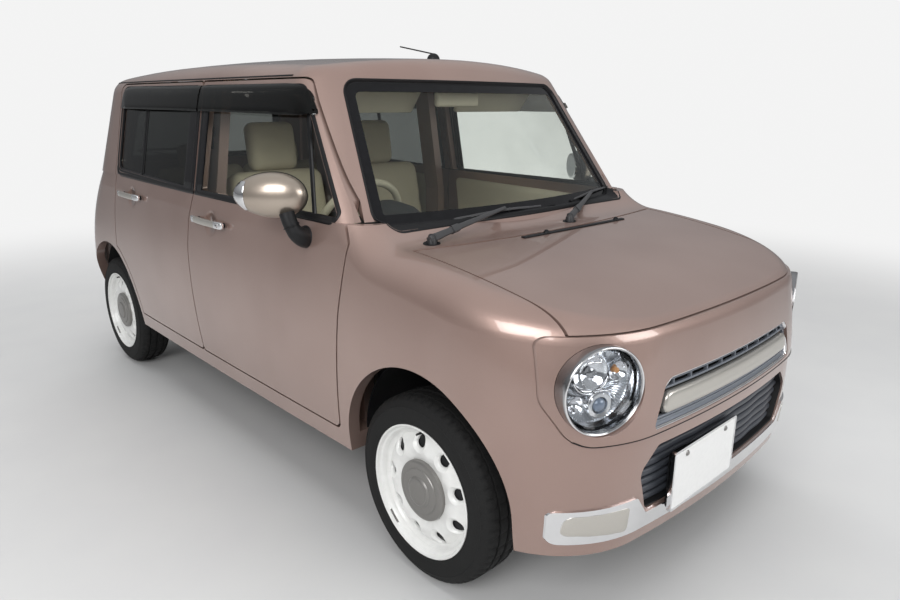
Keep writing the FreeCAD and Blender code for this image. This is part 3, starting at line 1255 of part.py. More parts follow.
right_mirror = document.addObject("Part::Mirroring", "door_mirror_right")
right_mirror.Source = left_mirror
right_mirror.Normal = Vector(1, 0, 0)
node(right_mirror, "door_mirror_right")


def screen_point(x, rise, stand_off):
    """A point over the windscreen at a share of its height, stand_off above the glass."""
    level = size.cowl_blade_level + rise
    drop = size.screen_bow_radius - math.sqrt(size.screen_bow_radius ** 2 - x ** 2)
    return Vector(x, size.screen_foot_y + size.screen_rake * (level - size.belt_level) + drop - stand_off,
                  level + stand_off * size.screen_rake)


def rod(first, second, radius):
    run = second.sub(first)
    return Part.makeCylinder(radius, run.Length, first, run)


# Each wiper: a pivot boss on the cowl, an arm and a blade that lies on the glass
WIPERS = (
    # pivot x, pivot y, blade low x, low rise, blade high x, high rise
    (-520, -960, -330, 40, 170, 84),
    (90, -975, 230, 38, 560, 80))
wipers = []
for pivot_x, pivot_y, low_x, low_rise, high_x, high_rise in WIPERS:
    uphill = pivot_y + size.wiper_boss_radius
    over = Part.makeLine(Vector(pivot_x, uphill, size.roof_height), Vector(pivot_x, uphill, 0))
    ground = max(vertex.Z for vertex in names["cowl_panel"].Shape.section(over).Vertexes)
    pivot = Vector(pivot_x, pivot_y, ground + seat)
    knuckle = Part.makeCylinder(size.wiper_boss_radius, 22, pivot)
    low_end = screen_point(low_x, low_rise, 12)
    high_end = screen_point(high_x, high_rise, 12)
    blade = rod(low_end, high_end, 6)
    joint = (low_end + high_end) * 0.5
    arm_end = joint + Vector(0, -13, 8)
    arm = rod(pivot + Vector(0, 0, 16), arm_end, 6)
    link = rod(arm_end, joint, 5)
    wipers.append(knuckle.fuse([arm, blade, link]))
keep("wipers", Part.makeCompound(wipers))

plate_front_words = "mid_nose_back - car_length / 2 - plate_stand"
plate = bound_box("plate", ("plate_centre_x - plate_width / 2", plate_front_words,
                            "plate_centre_height - plate_height / 2"),
                  ("plate_width", "plate_thickness", "plate_height"))
bracket = bound_box("plate_bracket", ("plate_centre_x - 90", plate_front_words,
                                      "plate_centre_height - 40"),
                    ("180", "plate_stand + 12 - seat_gap", "80"))
node(join("MultiFuse", "front_plate", plate, bracket), "front_plate")

crown_line = Part.makeLine(Vector(0, size.aerial_y, size.roof_height * 2),
                           Vector(0, size.aerial_y, size.belt_level))
roof_here = max(vertex.Z for vertex in names["cabin_shell"].Shape.section(crown_line).Vertexes)
dome = Part.makeSphere(24, Vector(0, 0, 0), Vector(0, 0, 1), 0, 90, 360)
dome.translate(Vector(0, size.aerial_y, roof_here - 2))
dome = dome.cut(outer.translated(Vector(0, 0, seat)))
mast_foot = Vector(0, size.aerial_y + 4, roof_here + 20)
mast = rod(mast_foot, mast_foot + Vector(0, size.aerial_length, 34), 2.5)
keep("roof_aerial", dome.fuse(mast))

document.recompute()
os.makedirs("parts", exist_ok=True)
for item in document.Objects:
    if "Invalid" in item.State or "Error" in item.State:
        raise RuntimeError("failed: %s %s" % (item.Label, item.State))
for name, item in names.items():
    shape = item.Shape
    if shape.isNull() or not shape.isValid() or not shape.Solids:
        raise RuntimeError("bad shape: " + name)
    shape.exportStep("parts/%s.step" % name)
print(len(names), "nodes")
for place, x, y, z in (("front door", door_axis_x(size.front_hinge_y), size.front_hinge_y, 0),
                       ("rear door", door_axis_x(size.rear_hinge_y), size.rear_hinge_y, 0),
                       ("bonnet", 0, size.bonnet_hinge_y, bonnet_axis_z),
                       ("tailgate", 0, tailgate_axis_y, size.tailgate_hinge_level)):
    print(place, "hinge axis", round(x, 2), round(y, 2), round(z, 2))
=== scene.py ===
import json
import math

import bmesh
import bpy
from mathutils import Matrix, Vector
from mathutils.bvhtree import BVHTree


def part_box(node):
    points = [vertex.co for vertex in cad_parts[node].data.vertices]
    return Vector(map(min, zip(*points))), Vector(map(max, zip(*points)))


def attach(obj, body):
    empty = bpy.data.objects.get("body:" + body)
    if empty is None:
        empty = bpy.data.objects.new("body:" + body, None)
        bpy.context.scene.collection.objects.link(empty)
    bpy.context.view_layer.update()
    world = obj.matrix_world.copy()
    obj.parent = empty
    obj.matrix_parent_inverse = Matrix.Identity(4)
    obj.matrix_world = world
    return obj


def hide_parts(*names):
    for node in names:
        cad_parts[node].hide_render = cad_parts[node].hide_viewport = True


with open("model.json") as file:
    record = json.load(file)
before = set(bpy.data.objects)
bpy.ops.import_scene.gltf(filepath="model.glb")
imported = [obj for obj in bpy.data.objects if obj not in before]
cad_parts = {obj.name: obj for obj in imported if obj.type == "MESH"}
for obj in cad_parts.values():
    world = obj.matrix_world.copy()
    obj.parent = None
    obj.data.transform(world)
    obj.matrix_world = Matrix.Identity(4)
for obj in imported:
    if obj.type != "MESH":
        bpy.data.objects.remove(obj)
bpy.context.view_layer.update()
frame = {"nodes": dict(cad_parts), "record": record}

# Metres. The nose points to -Y, +X is the car's left side, and the ground is z = 0.
# The camera stands where the photograph's camera stood.
CAMERA_PLACE = (-1.8206, -2.4617, 1.3438)
CAMERA_YAW = math.radians(43.11)
CAMERA_PITCH = math.radians(-15.99)
CAMERA_ROLL = math.radians(0.27)
CAMERA_LENS = 27.73
SENSOR_WIDTH = 36.0
BACKDROP = (0.90, 0.90, 0.90, 1)
# The floor turns into the backdrop between these distances from the origin
FLOOR_FADE = (2.2, 6.5)
# Rays towards the body start this far out: from the sides, and from the ends and above
RAY_SIDE = 1.3
RAY_FAR = 2.5


# Materials

def new_material(name):
    made = bpy.data.materials.new(name)
    made.use_nodes = True
    return made, made.node_tree, made.node_tree.nodes["Principled BSDF"]


def set_inputs(tree, node, rows):
    """rows: (socket, value) pairs, where a value may be another node's output."""
    for socket, value in rows:
        if isinstance(value, bpy.types.NodeSocket):
            tree.links.new(value, node.inputs[socket])
        else:
            node.inputs[socket].default_value = value


def add_node(tree, kind, inputs=(), **settings):
    node = tree.nodes.new("ShaderNode" + kind)
    for name, value in settings.items():
        setattr(node, name, value)
    set_inputs(tree, node, inputs)
    return node


def object_space(tree):
    """Object coordinates, which are the car's own metres."""
    return add_node(tree, "TexCoord").outputs["Object"]


def noise(tree, vector, scale, detail=3.0):
    rows = (("Scale", scale), ("Detail", detail), ("Vector", vector))
    return add_node(tree, "TexNoise", rows).outputs["Fac"]


def ramp(tree, value, low, high, low_colour, high_colour):
    node = add_node(tree, "ValToRGB", (("Fac", value),))
    stops = ((low, low_colour), (high, high_colour))
    for element, (place, colour) in zip(node.color_ramp.elements, stops):
        element.position = place
        element.color = (*colour, 1)
    return node.outputs["Color"]


def maths(tree, operation, *values):
    return add_node(tree, "Math", enumerate(values), operation=operation).outputs[0]


def show_mix(tree, share, first, second, output="Material Output"):
    """Mix two shaders and show the result."""
    mix = add_node(tree, "MixShader", (("Fac", share), (1, first), (2, second)))
    tree.links.new(mix.outputs["Shader"], tree.nodes[output].inputs["Surface"])


def shade(colour, factor):
    return tuple(min(1.0, part * factor) for part in colour)


def add_bump(tree, shader, height, strength, distance=0.001):
    rows = (("Strength", strength), ("Distance", distance), ("Height", height))
    bump = add_node(tree, "Bump", rows)
    tree.links.new(bump.outputs["Normal"], shader.inputs["Normal"])


def spread_range(tree, value, low, high):
    """Map a 0 to 1 value to the range low to high."""
    rows = (("To Min", low), ("To Max", high), ("Value", value))
    return add_node(tree, "MapRange", rows).outputs["Result"]


def surface(name, colour, roughness, metallic=0.0, grain=60.0, vary=0.06, bump=0.0,
            rough_vary=0.05, coat=0.0, specular=0.5):
    """A finish whose colour, roughness and relief all follow a noise at the given scale."""
    made, tree, shader = new_material(name)
    value = noise(tree, object_space(tree), grain)
    tone = ramp(tree, value, 0.3, 0.7, shade(colour, 1 - vary), shade(colour, 1 + vary))
    rough = spread_range(tree, value, max(0.02, roughness - rough_vary), roughness + rough_vary)
    set_inputs(tree, shader, (
        ("Base Color", tone), ("Roughness", rough), ("Metallic", metallic), ("Coat Weight", coat),
        ("Coat Roughness", 0.04), ("Specular IOR Level", specular)))
    if bump:
        add_bump(tree, shader, value, bump)
    return made


def paint_material():
    """Metallic paint: fine flakes that tip the normal a little under a smooth clear coat."""
    made, tree, shader = new_material("rose_beige_metallic")
    vector = object_space(tree)
    flakes = add_node(tree, "TexVoronoi", (("Scale", 1400), ("Vector", vector))).outputs["Distance"]
    tone = noise(tree, vector, 2.2, 2.0)
    fleck = noise(tree, vector, 900, 1.0)
    mixed = maths(tree, "MULTIPLY_ADD", fleck, 0.35, tone)
    set_inputs(tree, shader, (
        ("Base Color", ramp(tree, mixed, 0.45, 0.9, (0.345, 0.232, 0.198), (0.420, 0.296, 0.256))),
        ("Roughness", spread_range(tree, flakes, 0.30, 0.42)),
        ("Metallic", 0.62), ("Coat Weight", 1.0), ("Coat Roughness", 0.025)))
    add_bump(tree, shader, flakes, 0.03, 0.0002)
    return made


def glass_material(name, tint, mirror, roughness=0.015):
    """Tinted pane: a sheet that lets light through in its tint, with mirror gloss on top."""
    made, tree, shader = new_material(name)
    tone = ramp(tree, noise(tree, object_space(tree), 3.0, 2.0), 0.3, 0.7, shade(tint, 0.94), tint)
    clear = add_node(tree, "BsdfTransparent", (("Color", tone),))
    gloss = add_node(tree, "BsdfGlossy", (("Roughness", roughness), ("Color", (0.9, 0.92, 0.92, 1))))
    facing = add_node(tree, "LayerWeight", (("Blend", 0.5),)).outputs["Facing"]
    fresnel = maths(tree, "MULTIPLY_ADD", maths(tree, "POWER", facing, 5.0), 0.90, mirror)
    show_mix(tree, fresnel, clear.outputs["BSDF"], gloss.outputs["BSDF"])
    tree.nodes.remove(shader)
    return made


PAINT = paint_material()
GLASS = glass_material("green_tinted_glass", (0.950, 0.966, 0.948), 0.030)
DARK_GLASS = glass_material("dark_privacy_glass", (0.34, 0.35, 0.345), 0.035)
LENS = glass_material("clear_lens", (0.95, 0.96, 0.97), 0.025)
CHASSIS = surface("satin_chassis_black", (0.022, 0.022, 0.024), 0.5, grain=30, vary=0.3, bump=0.15)
BLACK = surface("grained_black_moulding", (0.011, 0.011, 0.012), 0.48, grain=900, vary=0.2, bump=0.25,
                specular=0.28)
GLOSS_BLACK = surface("gloss_black_trim", (0.006, 0.006, 0.007), 0.12, grain=40, vary=0.2, specular=0.30)
STEEL = surface("dull_steel", (0.30, 0.29, 0.28), 0.42, 1.0, grain=45, vary=0.2, bump=0.1)
SILVER = surface("satin_silver_moulding", (0.46, 0.46, 0.47), 0.34, 0.75, grain=500, vary=0.05)
GRILLE_DARK = surface("blue_grey_moulding", (0.055, 0.060, 0.072), 0.42, grain=700, vary=0.15, bump=0.15)
CHROME = surface("bright_chrome", (0.80, 0.80, 0.81), 0.06, 1.0, grain=25, vary=0.03, rough_vary=0.02)
PLATE = surface("blank_plate_enamel", (0.86, 0.86, 0.85), 0.38, grain=80, vary=0.02, coat=0.3)
DARK_TRIM = surface("dark_grained_trim", (0.030, 0.030, 0.032), 0.6, grain=1100, vary=0.2, bump=0.35)
CREAM = surface("cream_moulding", (0.62, 0.56, 0.43), 0.55, grain=900, vary=0.05, bump=0.2)
RED_LENS = surface("red_lens", (0.36, 0.010, 0.012), 0.10, grain=120, vary=0.1, coat=1.0)
CHAMPAGNE = surface("champagne_satin_shell", (0.47, 0.40, 0.335), 0.30, 0.8, grain=700, vary=0.04, coat=0.4)
RUBBER = surface("tyre_rubber", (0.013, 0.013, 0.013), 0.74, grain=260, vary=0.25, bump=0.3, specular=0.25)
WHEEL_WHITE = surface("white_wheel_enamel", (0.80, 0.80, 0.78), 0.30, grain=60, vary=0.03, coat=0.5)
SEAT = surface("woven_cream_cloth", (0.60, 0.53, 0.39), 0.85, grain=650, vary=0.12, bump=0.6)

RUBBER_TRIM = surface("black_rubber_trim", (0.008, 0.008, 0.009), 0.42, grain=500, vary=0.2, bump=0.1,
                      specular=0.25)
SATIN = surface("satin_champagne_silver", (0.60, 0.575, 0.53), 0.30, 0.85, grain=600, vary=0.03, bump=0.03)
DARK_CHROME = surface("smoked_chrome", (0.42, 0.42, 0.43), 0.08, 1.0, grain=30, vary=0.05, rough_vary=0.02)
LAMP_SILVER = surface("lamp_silvering", (0.66, 0.68, 0.71), 0.16, 1.0, grain=90, vary=0.05,
                      rough_vary=0.03)
PROJECTOR = surface("projector_glass", (0.16, 0.20, 0.27), 0.05, 0.2, grain=40, vary=0.2, coat=1.0,
                    rough_vary=0.02)
AMBER = surface("amber_lens", (0.60, 0.27, 0.08), 0.12, grain=90, vary=0.1, coat=0.8)
CLEAR_LENS = surface("clear_ribbed_lens", (0.62, 0.62, 0.63), 0.10, 0.2, grain=300, vary=0.08, coat=0.8)
GRILLE_GREY = surface("grey_blue_satin_moulding", (0.215, 0.235, 0.270), 0.32, 0.35, grain=500, vary=0.06,
                      bump=0.05)
CAP_SILVER = surface("grey_centre_cap", (0.250, 0.242, 0.230), 0.36, 0.55, grain=500, vary=0.05,
                     bump=0.04)
BRIGHT_CAST = surface("bright_plated_handle", (0.84, 0.84, 0.85), 0.20, 0.95, grain=60, vary=0.03,
                      rough_vary=0.03)
WIPER_GREY = surface("satin_wiper_grey", (0.045, 0.045, 0.047), 0.36, grain=700, vary=0.1, bump=0.05)
MIRROR = surface("mirror_silvering", (0.86, 0.87, 0.88), 0.02, 1.0, grain=4, vary=0.01, rough_vary=0.005)
LINING = surface("pale_roof_felt", (0.55, 0.51, 0.42), 0.9, grain=1400, vary=0.06, bump=0.4)
WEBBING = surface("black_belt_webbing", (0.020, 0.020, 0.021), 0.75, grain=1500, vary=0.3, bump=0.5)
SMOKE = glass_material("smoked_visor", (0.34, 0.33, 0.32), 0.030, 0.03)

SLOT_MATERIALS = {
    "body_paint": PAINT, "window_glass": GLASS, "chassis_black": CHASSIS, "black_plastic": BLACK,
    "exhaust_steel": STEEL, "silver_trim": SILVER, "dark_grille": GRILLE_DARK, "chrome": CHROME,
    "lamp_glass": LENS, "plate_white": PLATE, "dark_interior": DARK_TRIM, "cream_plastic": CREAM,
    "seat_fabric": SEAT, "red_lens": RED_LENS, "mirror_shell": CHAMPAGNE, "tyre_rubber": RUBBER,
    "wheel_paint": WHEEL_WHITE}
NODE_MATERIALS = {"rear_door_glass_right": DARK_GLASS, "rear_door_glass_left": DARK_GLASS,
                  "tailgate_glass": DARK_GLASS}


def dress_cad_nodes():
    for row in frame["record"]["subparts"]:
        finish = NODE_MATERIALS.get(row["node"], SLOT_MATERIALS[row["material_slot"]])
        mesh = frame["nodes"][row["node"]].data
        mesh.materials.clear()
        mesh.materials.append(finish)


# Mesh helpers

def mesh_piece(name, shape, finish, body="root", sharp=40, replaces=()):
    """A named mesh from (points, faces) that rides on a CAD body; sharper edges stay crisp."""
    points, faces = shape
    mesh = bpy.data.meshes.new(name)
    mesh.from_pydata([tuple(point) for point in points], [], faces)
    form = bmesh.new()
    form.from_mesh(mesh)
    bmesh.ops.remove_doubles(form, verts=form.verts, dist=1e-6)
    bmesh.ops.recalc_face_normals(form, faces=form.faces)
    form.to_mesh(mesh)
    form.free()
    mesh.materials.append(finish)
    mesh.shade_smooth()
    mesh.set_sharp_from_angle(angle=math.radians(sharp))
    piece = bpy.data.objects.new(name, mesh)
    bpy.context.scene.collection.objects.link(piece)
    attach(piece, body)
    if replaces:
        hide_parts(*replaces)
    return piece


def ring_faces(here, there, count):
    """The faces between two closed rings of count points that start at here and there."""
    return [(here + step, here + (step + 1) % count, there + (step + 1) % count, there + step)
            for step in range(count)]


def loft(rings, path_closed=False, capped=True):
    """Skin a row of closed rings that all have the same number of points."""
    count = len(rings[0])
    points = [point for ring in rings for point in ring]
    faces = []
    spans = len(rings) if path_closed else len(rings) - 1
    for index in range(spans):
        faces += ring_faces(index * count, ((index + 1) % len(rings)) * count, count)
    if capped and not path_closed:
        last = (len(rings) - 1) * count
        faces.append(tuple(range(count - 1, -1, -1)))
        faces.append(tuple(range(last, last + count)))
    return points, faces


def joined(*parts):
    """Several (points, faces) pairs as one."""
    points, faces = [], []
    for more_points, more_faces in parts:
        base = len(points)
        points += list(more_points)
        faces += [tuple(base + index for index in face) for face in more_faces]
    return points, faces


def oval(half_wide, half_high, steps=12):
    return [(half_wide * math.cos(2 * math.pi * step / steps),
             half_high * math.sin(2 * math.pi * step / steps)) for step in range(steps)]


def soft_rect(half_wide, half_high, radius, steps=4):
    """A rectangle section with round corners, centred on the path."""
    rows = []
    for turn, (x, y) in enumerate(((1, 1), (-1, 1), (-1, -1), (1, -1))):
        for step in range(steps + 1):
            angle = math.pi / 2 * (turn + step / steps)
            rows.append((x * (half_wide - radius) + radius * math.cos(angle),
                         y * (half_high - radius) + radius * math.sin(angle)))
    return rows


def swept(path, section, up, scales=None, closed=False):
    """Carry a section (across, lift) along a path of points."""
    path = [Vector(point) for point in path]
    rings = []
    for index, point in enumerate(path):
        before = path[index - 1] if index or closed else point
        after = path[(index + 1) % len(path)] if index < len(path) - 1 or closed else point
        along = (after - before).normalized()
        above = Vector(up[index]) if isinstance(up, list) else Vector(up)
        sideways = along.cross(above).normalized()
        lift = sideways.cross(along)
        scale = scales[index] if scales else (1, 1)
        rings.append([point + sideways * (wide * scale[0]) + lift * (high * scale[1])
                      for wide, high in section])
    return loft(rings, closed)


def curve_through(points, steps=8):
    """Smooth points through the given ones (Catmull-Rom)."""
    points = [Vector(point) for point in points]
    rows = []
    for index in range(len(points) - 1):
        a = points[max(index - 1, 0)]
        b, c = points[index], points[index + 1]
        d = points[min(index + 2, len(points) - 1)]
        for step in range(steps):
            t = step / steps
            rows.append(0.5 * (2 * b + (c - a) * t + (2 * a - 5 * b + 4 * c - d) * t ** 2
                               + (3 * b - a - 3 * c + d) * t ** 3))
    rows.append(points[-1])
    return rows


def turned(profile, place, steps=64, shape=None):
    """Turn a closed profile (radius, along) round the local Z axis of a place matrix."""
    rings = []
    for step in range(steps):
        angle = 2 * math.pi * step / steps
        ring = []
        for number, (radius, along) in enumerate(profile):
            if shape:
                radius, along = shape(step, number, radius, along)
            ring.append(place @ Vector((radius * math.cos(angle), radius * math.sin(angle), along)))
        rings.append(ring)
    return loft(rings, True)


def rounded_loop(rows, corner_steps=6, run=0.04):
    """Points along a closed outline (u, v, corner radius), with long runs divided."""
    corners = []
    count = len(rows)
    for index, (u, v, radius) in enumerate(rows):
        here = Vector((u, v))
        back = (Vector(rows[index - 1][:2]) - here).normalized()
        onward = (Vector(rows[(index + 1) % count][:2]) - here).normalized()
        if radius <= 0:
            corners.append(here)
            continue
        half = back.angle(onward) / 2
        centre = here + (back + onward).normalized() * (radius / math.sin(half))
        start = here + back * (radius / math.tan(half)) - centre
        finish = here + onward * (radius / math.tan(half)) - centre
        first = math.atan2(start.y, start.x)
        turn = (math.atan2(finish.y, finish.x) - first + math.pi) % (2 * math.pi) - math.pi
        for step in range(corner_steps + 1):
            angle = first + turn * step / corner_steps
            corners.append(centre + Vector((math.cos(angle), math.sin(angle))) * radius)
    points = []
    for index, here in enumerate(corners):
        onward = corners[(index + 1) % len(corners)] - here
        parts = max(1, round(onward.length / run))
        points += [here + onward * (part / parts) for part in range(parts)]
    return points


def inset_loop(loop, amount):
    """The loop moved inward by amount (outward when negative)."""
    area = sum(a.x * b.y - b.x * a.y for a, b in zip(loop, loop[1:] + loop[:1]))
    sign = 1 if area > 0 else -1
    moved = []
    for index, here in enumerate(loop):
        back = (here - loop[index - 1]).normalized()
        onward = (loop[(index + 1) % len(loop)] - here).normalized()
        first = Vector((-back.y, back.x)) * sign
        second = Vector((-onward.y, onward.x)) * sign
        middle = (first + second).normalized()
        moved.append(here + middle * (amount / max(0.5, middle.dot(first))))
    return moved


# Rows of faces between a pillow's rim and its middle
FILL_ROWS = 5


def raised(place, u, v, lift):
    """The point at a height over a surface that a place function gives."""
    point, normal = place(u, v)
    return point + normal * lift


def banded(first, second, ring, place, closed, fades=None):
    """A strip between two matching lines on a surface. ring: (share across, lift)."""
    rings = []
    for a, b, fade in zip(first, second, fades or [1] * len(first)):
        rings.append([raised(place, *(a + (b - a) * share), lift * fade) for share, lift in ring])
    return loft(rings, closed)


def pillow(loop, levels, place):
    """A raised pad on a surface: loops inset step by step, each at its own lift, then filled."""
    rings = [[raised(place, u, v, lift) for u, v in inset_loop(loop, inset)] for inset, lift in levels]
    points, faces = loft(rings, capped=False)
    count = len(loop)
    last = (len(rings) - 1) * count
    inset, lift = levels[-1]
    inner = inset_loop(loop, inset)
    middle = sum(inner, Vector((0, 0))) / count
    for row in range(1, FILL_ROWS):
        share = row / FILL_ROWS
        points += [raised(place, u + (middle.x - u) * share, v + (middle.y - v) * share, lift)
                   for u, v in inner]
        faces += ring_faces(last + (row - 1) * count, last + row * count, count)
    points.append(raised(place, *middle, lift))
    here, tip = last + (FILL_ROWS - 1) * count, len(points) - 1
    faces += [(here + step, here + (step + 1) % count, tip) for step in range(count)]
    return points, faces


# Where the CAD surfaces lie

PAINTED = [row["node"] for row in frame["record"]["subparts"] if row["material_slot"] == "body_paint"]
GLAZED = [row["node"] for row in frame["record"]["subparts"] if row["material_slot"] == "window_glass"]
# How far the panes lie below the frames round them, and how far behind a pane a panel still counts
# as the outer surface
GLASS_DEPTH = 0.009
PANE_SLACK = 0.002
# The side's smooth sheet by height, in bands from (z, half width, nose y, tail y) to the same
SHEET_BANDS = (((0.25, 0.709, -1.6735, 1.6715), (0.6, 0.7375, -1.6915, 1.6975)),
               ((0.6, 0.7375, -1.6915, 1.6975), (1.0, 0.700, -1.6275, 1.6555)),
               ((1.0, 0.700, -0.906, 1.6555), (2.0, 0.510, -0.206, 1.3855)))
# Radii of the bows in plan, of the sides and of the nose
SIDE_BOW = 68.0
NOSE_BOW = 3.49
NOSE_LINE = -1.6915
ROOF_EDGE = 1.39


def tree_of(node_names):
    points, faces = [], []
    for name in node_names:
        mesh = frame["nodes"][name].data
        base = len(points)
        points += [vertex.co.copy() for vertex in mesh.vertices]
        faces += [tuple(base + index for index in face.vertices) for face in mesh.polygons]
    return BVHTree.FromPolygons(points, faces)


SKIN = tree_of(PAINTED)
PANES = tree_of(GLAZED)


def on_skin(origin, direction):
    """The body's outer surface along a ray; over glass it is the level of the frame round it."""
    skin, skin_normal, number, skin_far = SKIN.ray_cast(origin, direction)
    pane, pane_normal, number, pane_far = PANES.ray_cast(origin, direction)
    if skin is not None and (pane is None or skin_far < pane_far + PANE_SLACK):
        return skin, skin_normal
    if pane is not None:
        return pane + pane_normal * GLASS_DEPTH, pane_normal
    return None, None


def side_sheet(sign):
    """The body side as one smooth sheet, across the gaps between the doors."""
    def place(y, z):
        (foot, *first), (head, *last) = SHEET_BANDS[(z >= 0.6) + (z >= 1.0)]
        share = (z - foot) / (head - foot)
        wide, nose, tail = (a + (b - a) * share for a, b in zip(first, last))
        wide -= (y - (nose + tail) / 2) ** 2 / (2 * SIDE_BOW)
        return Vector((sign * wide, y, z)), Vector((sign, 0, 0.15 if z > 1 else 0.05)).normalized()
    return place


def side_place(sign):
    sheet = side_sheet(sign)

    def place(y, z):
        point, normal = on_skin(Vector((sign * RAY_SIDE, y, z)), Vector((-sign, 0, 0)))
        if point is None:
            point, normal, number, far = SKIN.find_nearest(sheet(y, z)[0])
        elif z < ROOF_EDGE and abs(point.x - sheet(y, z)[0].x) > 0.05:
            return sheet(y, z)
        return point, normal
    return place


def front_place(x, z):
    return on_skin(Vector((x, -RAY_FAR, z)), Vector((0, 1, 0)))


def rear_place(x, z):
    return on_skin(Vector((x, RAY_FAR, z)), Vector((0, -1, 0)))


def top_place(x, y):
    return on_skin(Vector((x, y, RAY_FAR)), Vector((0, 0, -1)))


def nose_place(x, z):
    """The nose's bowed face as one smooth sheet, across the openings of both grilles."""
    rise = (z - 0.6) / 0.4
    back = 0.0645 * rise * (0.20 + 0.80 * rise) if rise > 0 else 0.0206 * rise ** 2
    normal = Vector((x / NOSE_BOW, -1.0, 0.06 + 0.2 * rise)).normalized()
    return Vector((x, NOSE_LINE + back + x * x / (2 * NOSE_BOW), z)), normal


def standing(point, normal):
    """A place matrix at a point with local +Z along the normal."""
    return Matrix.Translation(point) @ normal.to_track_quat("Z", "Y").to_matrix().to_4x4()


def ellipse(u, v, half_wide, half_high, steps=32):
    return [Vector((u + x, v + y)) for x, y in oval(half_wide, half_high, steps)]


def rectangle(left, right, low, high, radius, high_radius=None):
    """Outline rows (u, v, corner radius), from the lower left corner round by the top."""
    top = high_radius or radius
    return (left, low, radius), (left, high, top), (right, high, top), (right, low, radius)


def lifted(place, lift):
    def moved(u, v):
        point, normal = place(u, v)
        return point + normal * lift, normal
    return moved


def tree_place(tree, origin, direction):
    """A place function on one BVH tree: origin takes (u, v) to a ray start."""
    toward = Vector(direction)

    def place(u, v):
        point, normal, number, far = tree.ray_cast(origin(u, v), toward)
        if normal.dot(toward) > 0:
            normal = -normal
        return point, normal
    return place


SIDES = ((-1, "right"), (1, "left"))
CORNERS = ((-1, "front_right", -1.1325), (1, "front_left", -1.1325),
           (-1, "rear_right", 1.2675), (1, "rear_left", 1.2675))
BEAD = ((0, -0.004), (0.12, 0.0016), (0.5, 0.0026), (0.88, 0.0016), (1, -0.004))


# Wheels

WHEEL_X = 0.62
AXLE_HEIGHT = 0.279
TYRE_SIDE = ((0.1945, 0.050), (0.1950, 0.066), (0.1968, 0.0725), (0.1998, 0.0758), (0.2018, 0.0770),
             (0.2038, 0.0762), (0.214, 0.0772), (0.232, 0.0774), (0.246, 0.0755), (0.2475, 0.0762),
             (0.249, 0.0745), (0.259, 0.0705), (0.267, 0.0655), (0.2735, 0.0585), (0.2768, 0.0515))
TREAD = ((0.2780, 0.045), (0.2783, 0.0372), (0.2715, 0.0362), (0.2715, 0.0308), (0.2786, 0.0298),
         (0.2789, 0.0165), (0.2789, 0.0062), (0.2718, 0.0052), (0.2718, 0.0))
RIM_EDGE = ((0.1775, -0.070), (0.1955, -0.072), (0.1985, -0.068), (0.1940, -0.062), (0.1785, -0.054),
            (0.1785, 0.054), (0.1925, 0.0610), (0.1962, 0.0680), (0.1985, 0.0730), (0.1980, 0.0765),
            (0.1950, 0.0778), (0.1918, 0.0755), (0.1902, 0.0690), (0.1878, 0.0660), (0.1840, 0.0650),
            (0.1815, 0.0625), (0.1785, 0.0520), (0.1750, 0.0455), (0.1700, 0.0420), (0.1660, 0.0410),
            (0.1660, 0.0370), (0.1740, 0.0380), (0.1750, -0.050))
CAP = ((0.0, 0.0795), (0.012, 0.0793), (0.034, 0.0776), (0.0365, 0.0790), (0.0395, 0.0794),
       (0.0425, 0.0780), (0.0455, 0.0745), (0.060, 0.0735), (0.0665, 0.0725), (0.0685, 0.0698),
       (0.0720, 0.0692), (0.0760, 0.0700), (0.0860, 0.0680), (0.0895, 0.0655), (0.0905, 0.0610),
       (0.0905, 0.0450), (0.0, 0.0450))
# The black plate just behind the disc sits where the hub is; its black is painted shade, seen through the
# holes
WHEEL_BACK_SHADE = ((0.0, 0.0470), (0.120, 0.0470), (0.150, 0.0405), (0.1625, 0.0325), (0.1625, 0.020),
              (0.0, 0.020))
VALVE = ((0.176, 0.004, 0.050), (0.178, 0.004, 0.066), (0.177, 0.004, 0.078))
WEIGHT_RADIUS = 0.1865
WEIGHT_TURNS = (2.3, 2.38, 2.46, 2.54)
DISC_INNER, DISC_OUTER = 0.083, 0.1685
DISC_CAP, DISC_RIM = 0.09, 0.168
HOLES = 9
HOLE_RADIUS = 0.1415
HOLE_TURN = math.radians(6.5)
HOLE_OUTWARD, HOLE_INWARD = 0.0250, 0.0275
# Rings round a hole: (share of its half width, drop). The last one runs to the sector's edge.
HOLE_RINGS = ((0.70, -0.0125), (0.71, -0.0068), (0.76, -0.0048), (0.94, -0.0010), (1.04, 0.0010),
              (1.18, 0.0), (math.inf, 0.0))
# The scooped inner rings lie this much further out
SCOOP_SHARE = 0.85
SCOOP_SHIFT = 0.0035
SECTOR_STEP = 0.0002
SECTOR_REACH = 0.08


def disc_level(radius):
    """Height of the pressed disc: highest midway, lower at the cap and towards the rim."""
    share = (radius - DISC_CAP) / (DISC_RIM - DISC_CAP)
    return 0.0530 + 0.0100 * math.sin(math.pi * min(1, max(0, share)) ** 0.85) - 0.0130 * share ** 3


def sector_reach(out, side):
    """How far one sector of the disc runs from its hole's centre in a direction."""
    for part in range(1, round(SECTOR_REACH / SECTOR_STEP)):
        far = part * SECTOR_STEP
        radius = math.hypot(HOLE_RADIUS + out * far, side * far)
        swing = math.atan2(side * far, HOLE_RADIUS + out * far)
        if abs(swing) > math.pi / HOLES or not DISC_INNER <= radius <= DISC_OUTER:
            return far
    return SECTOR_REACH


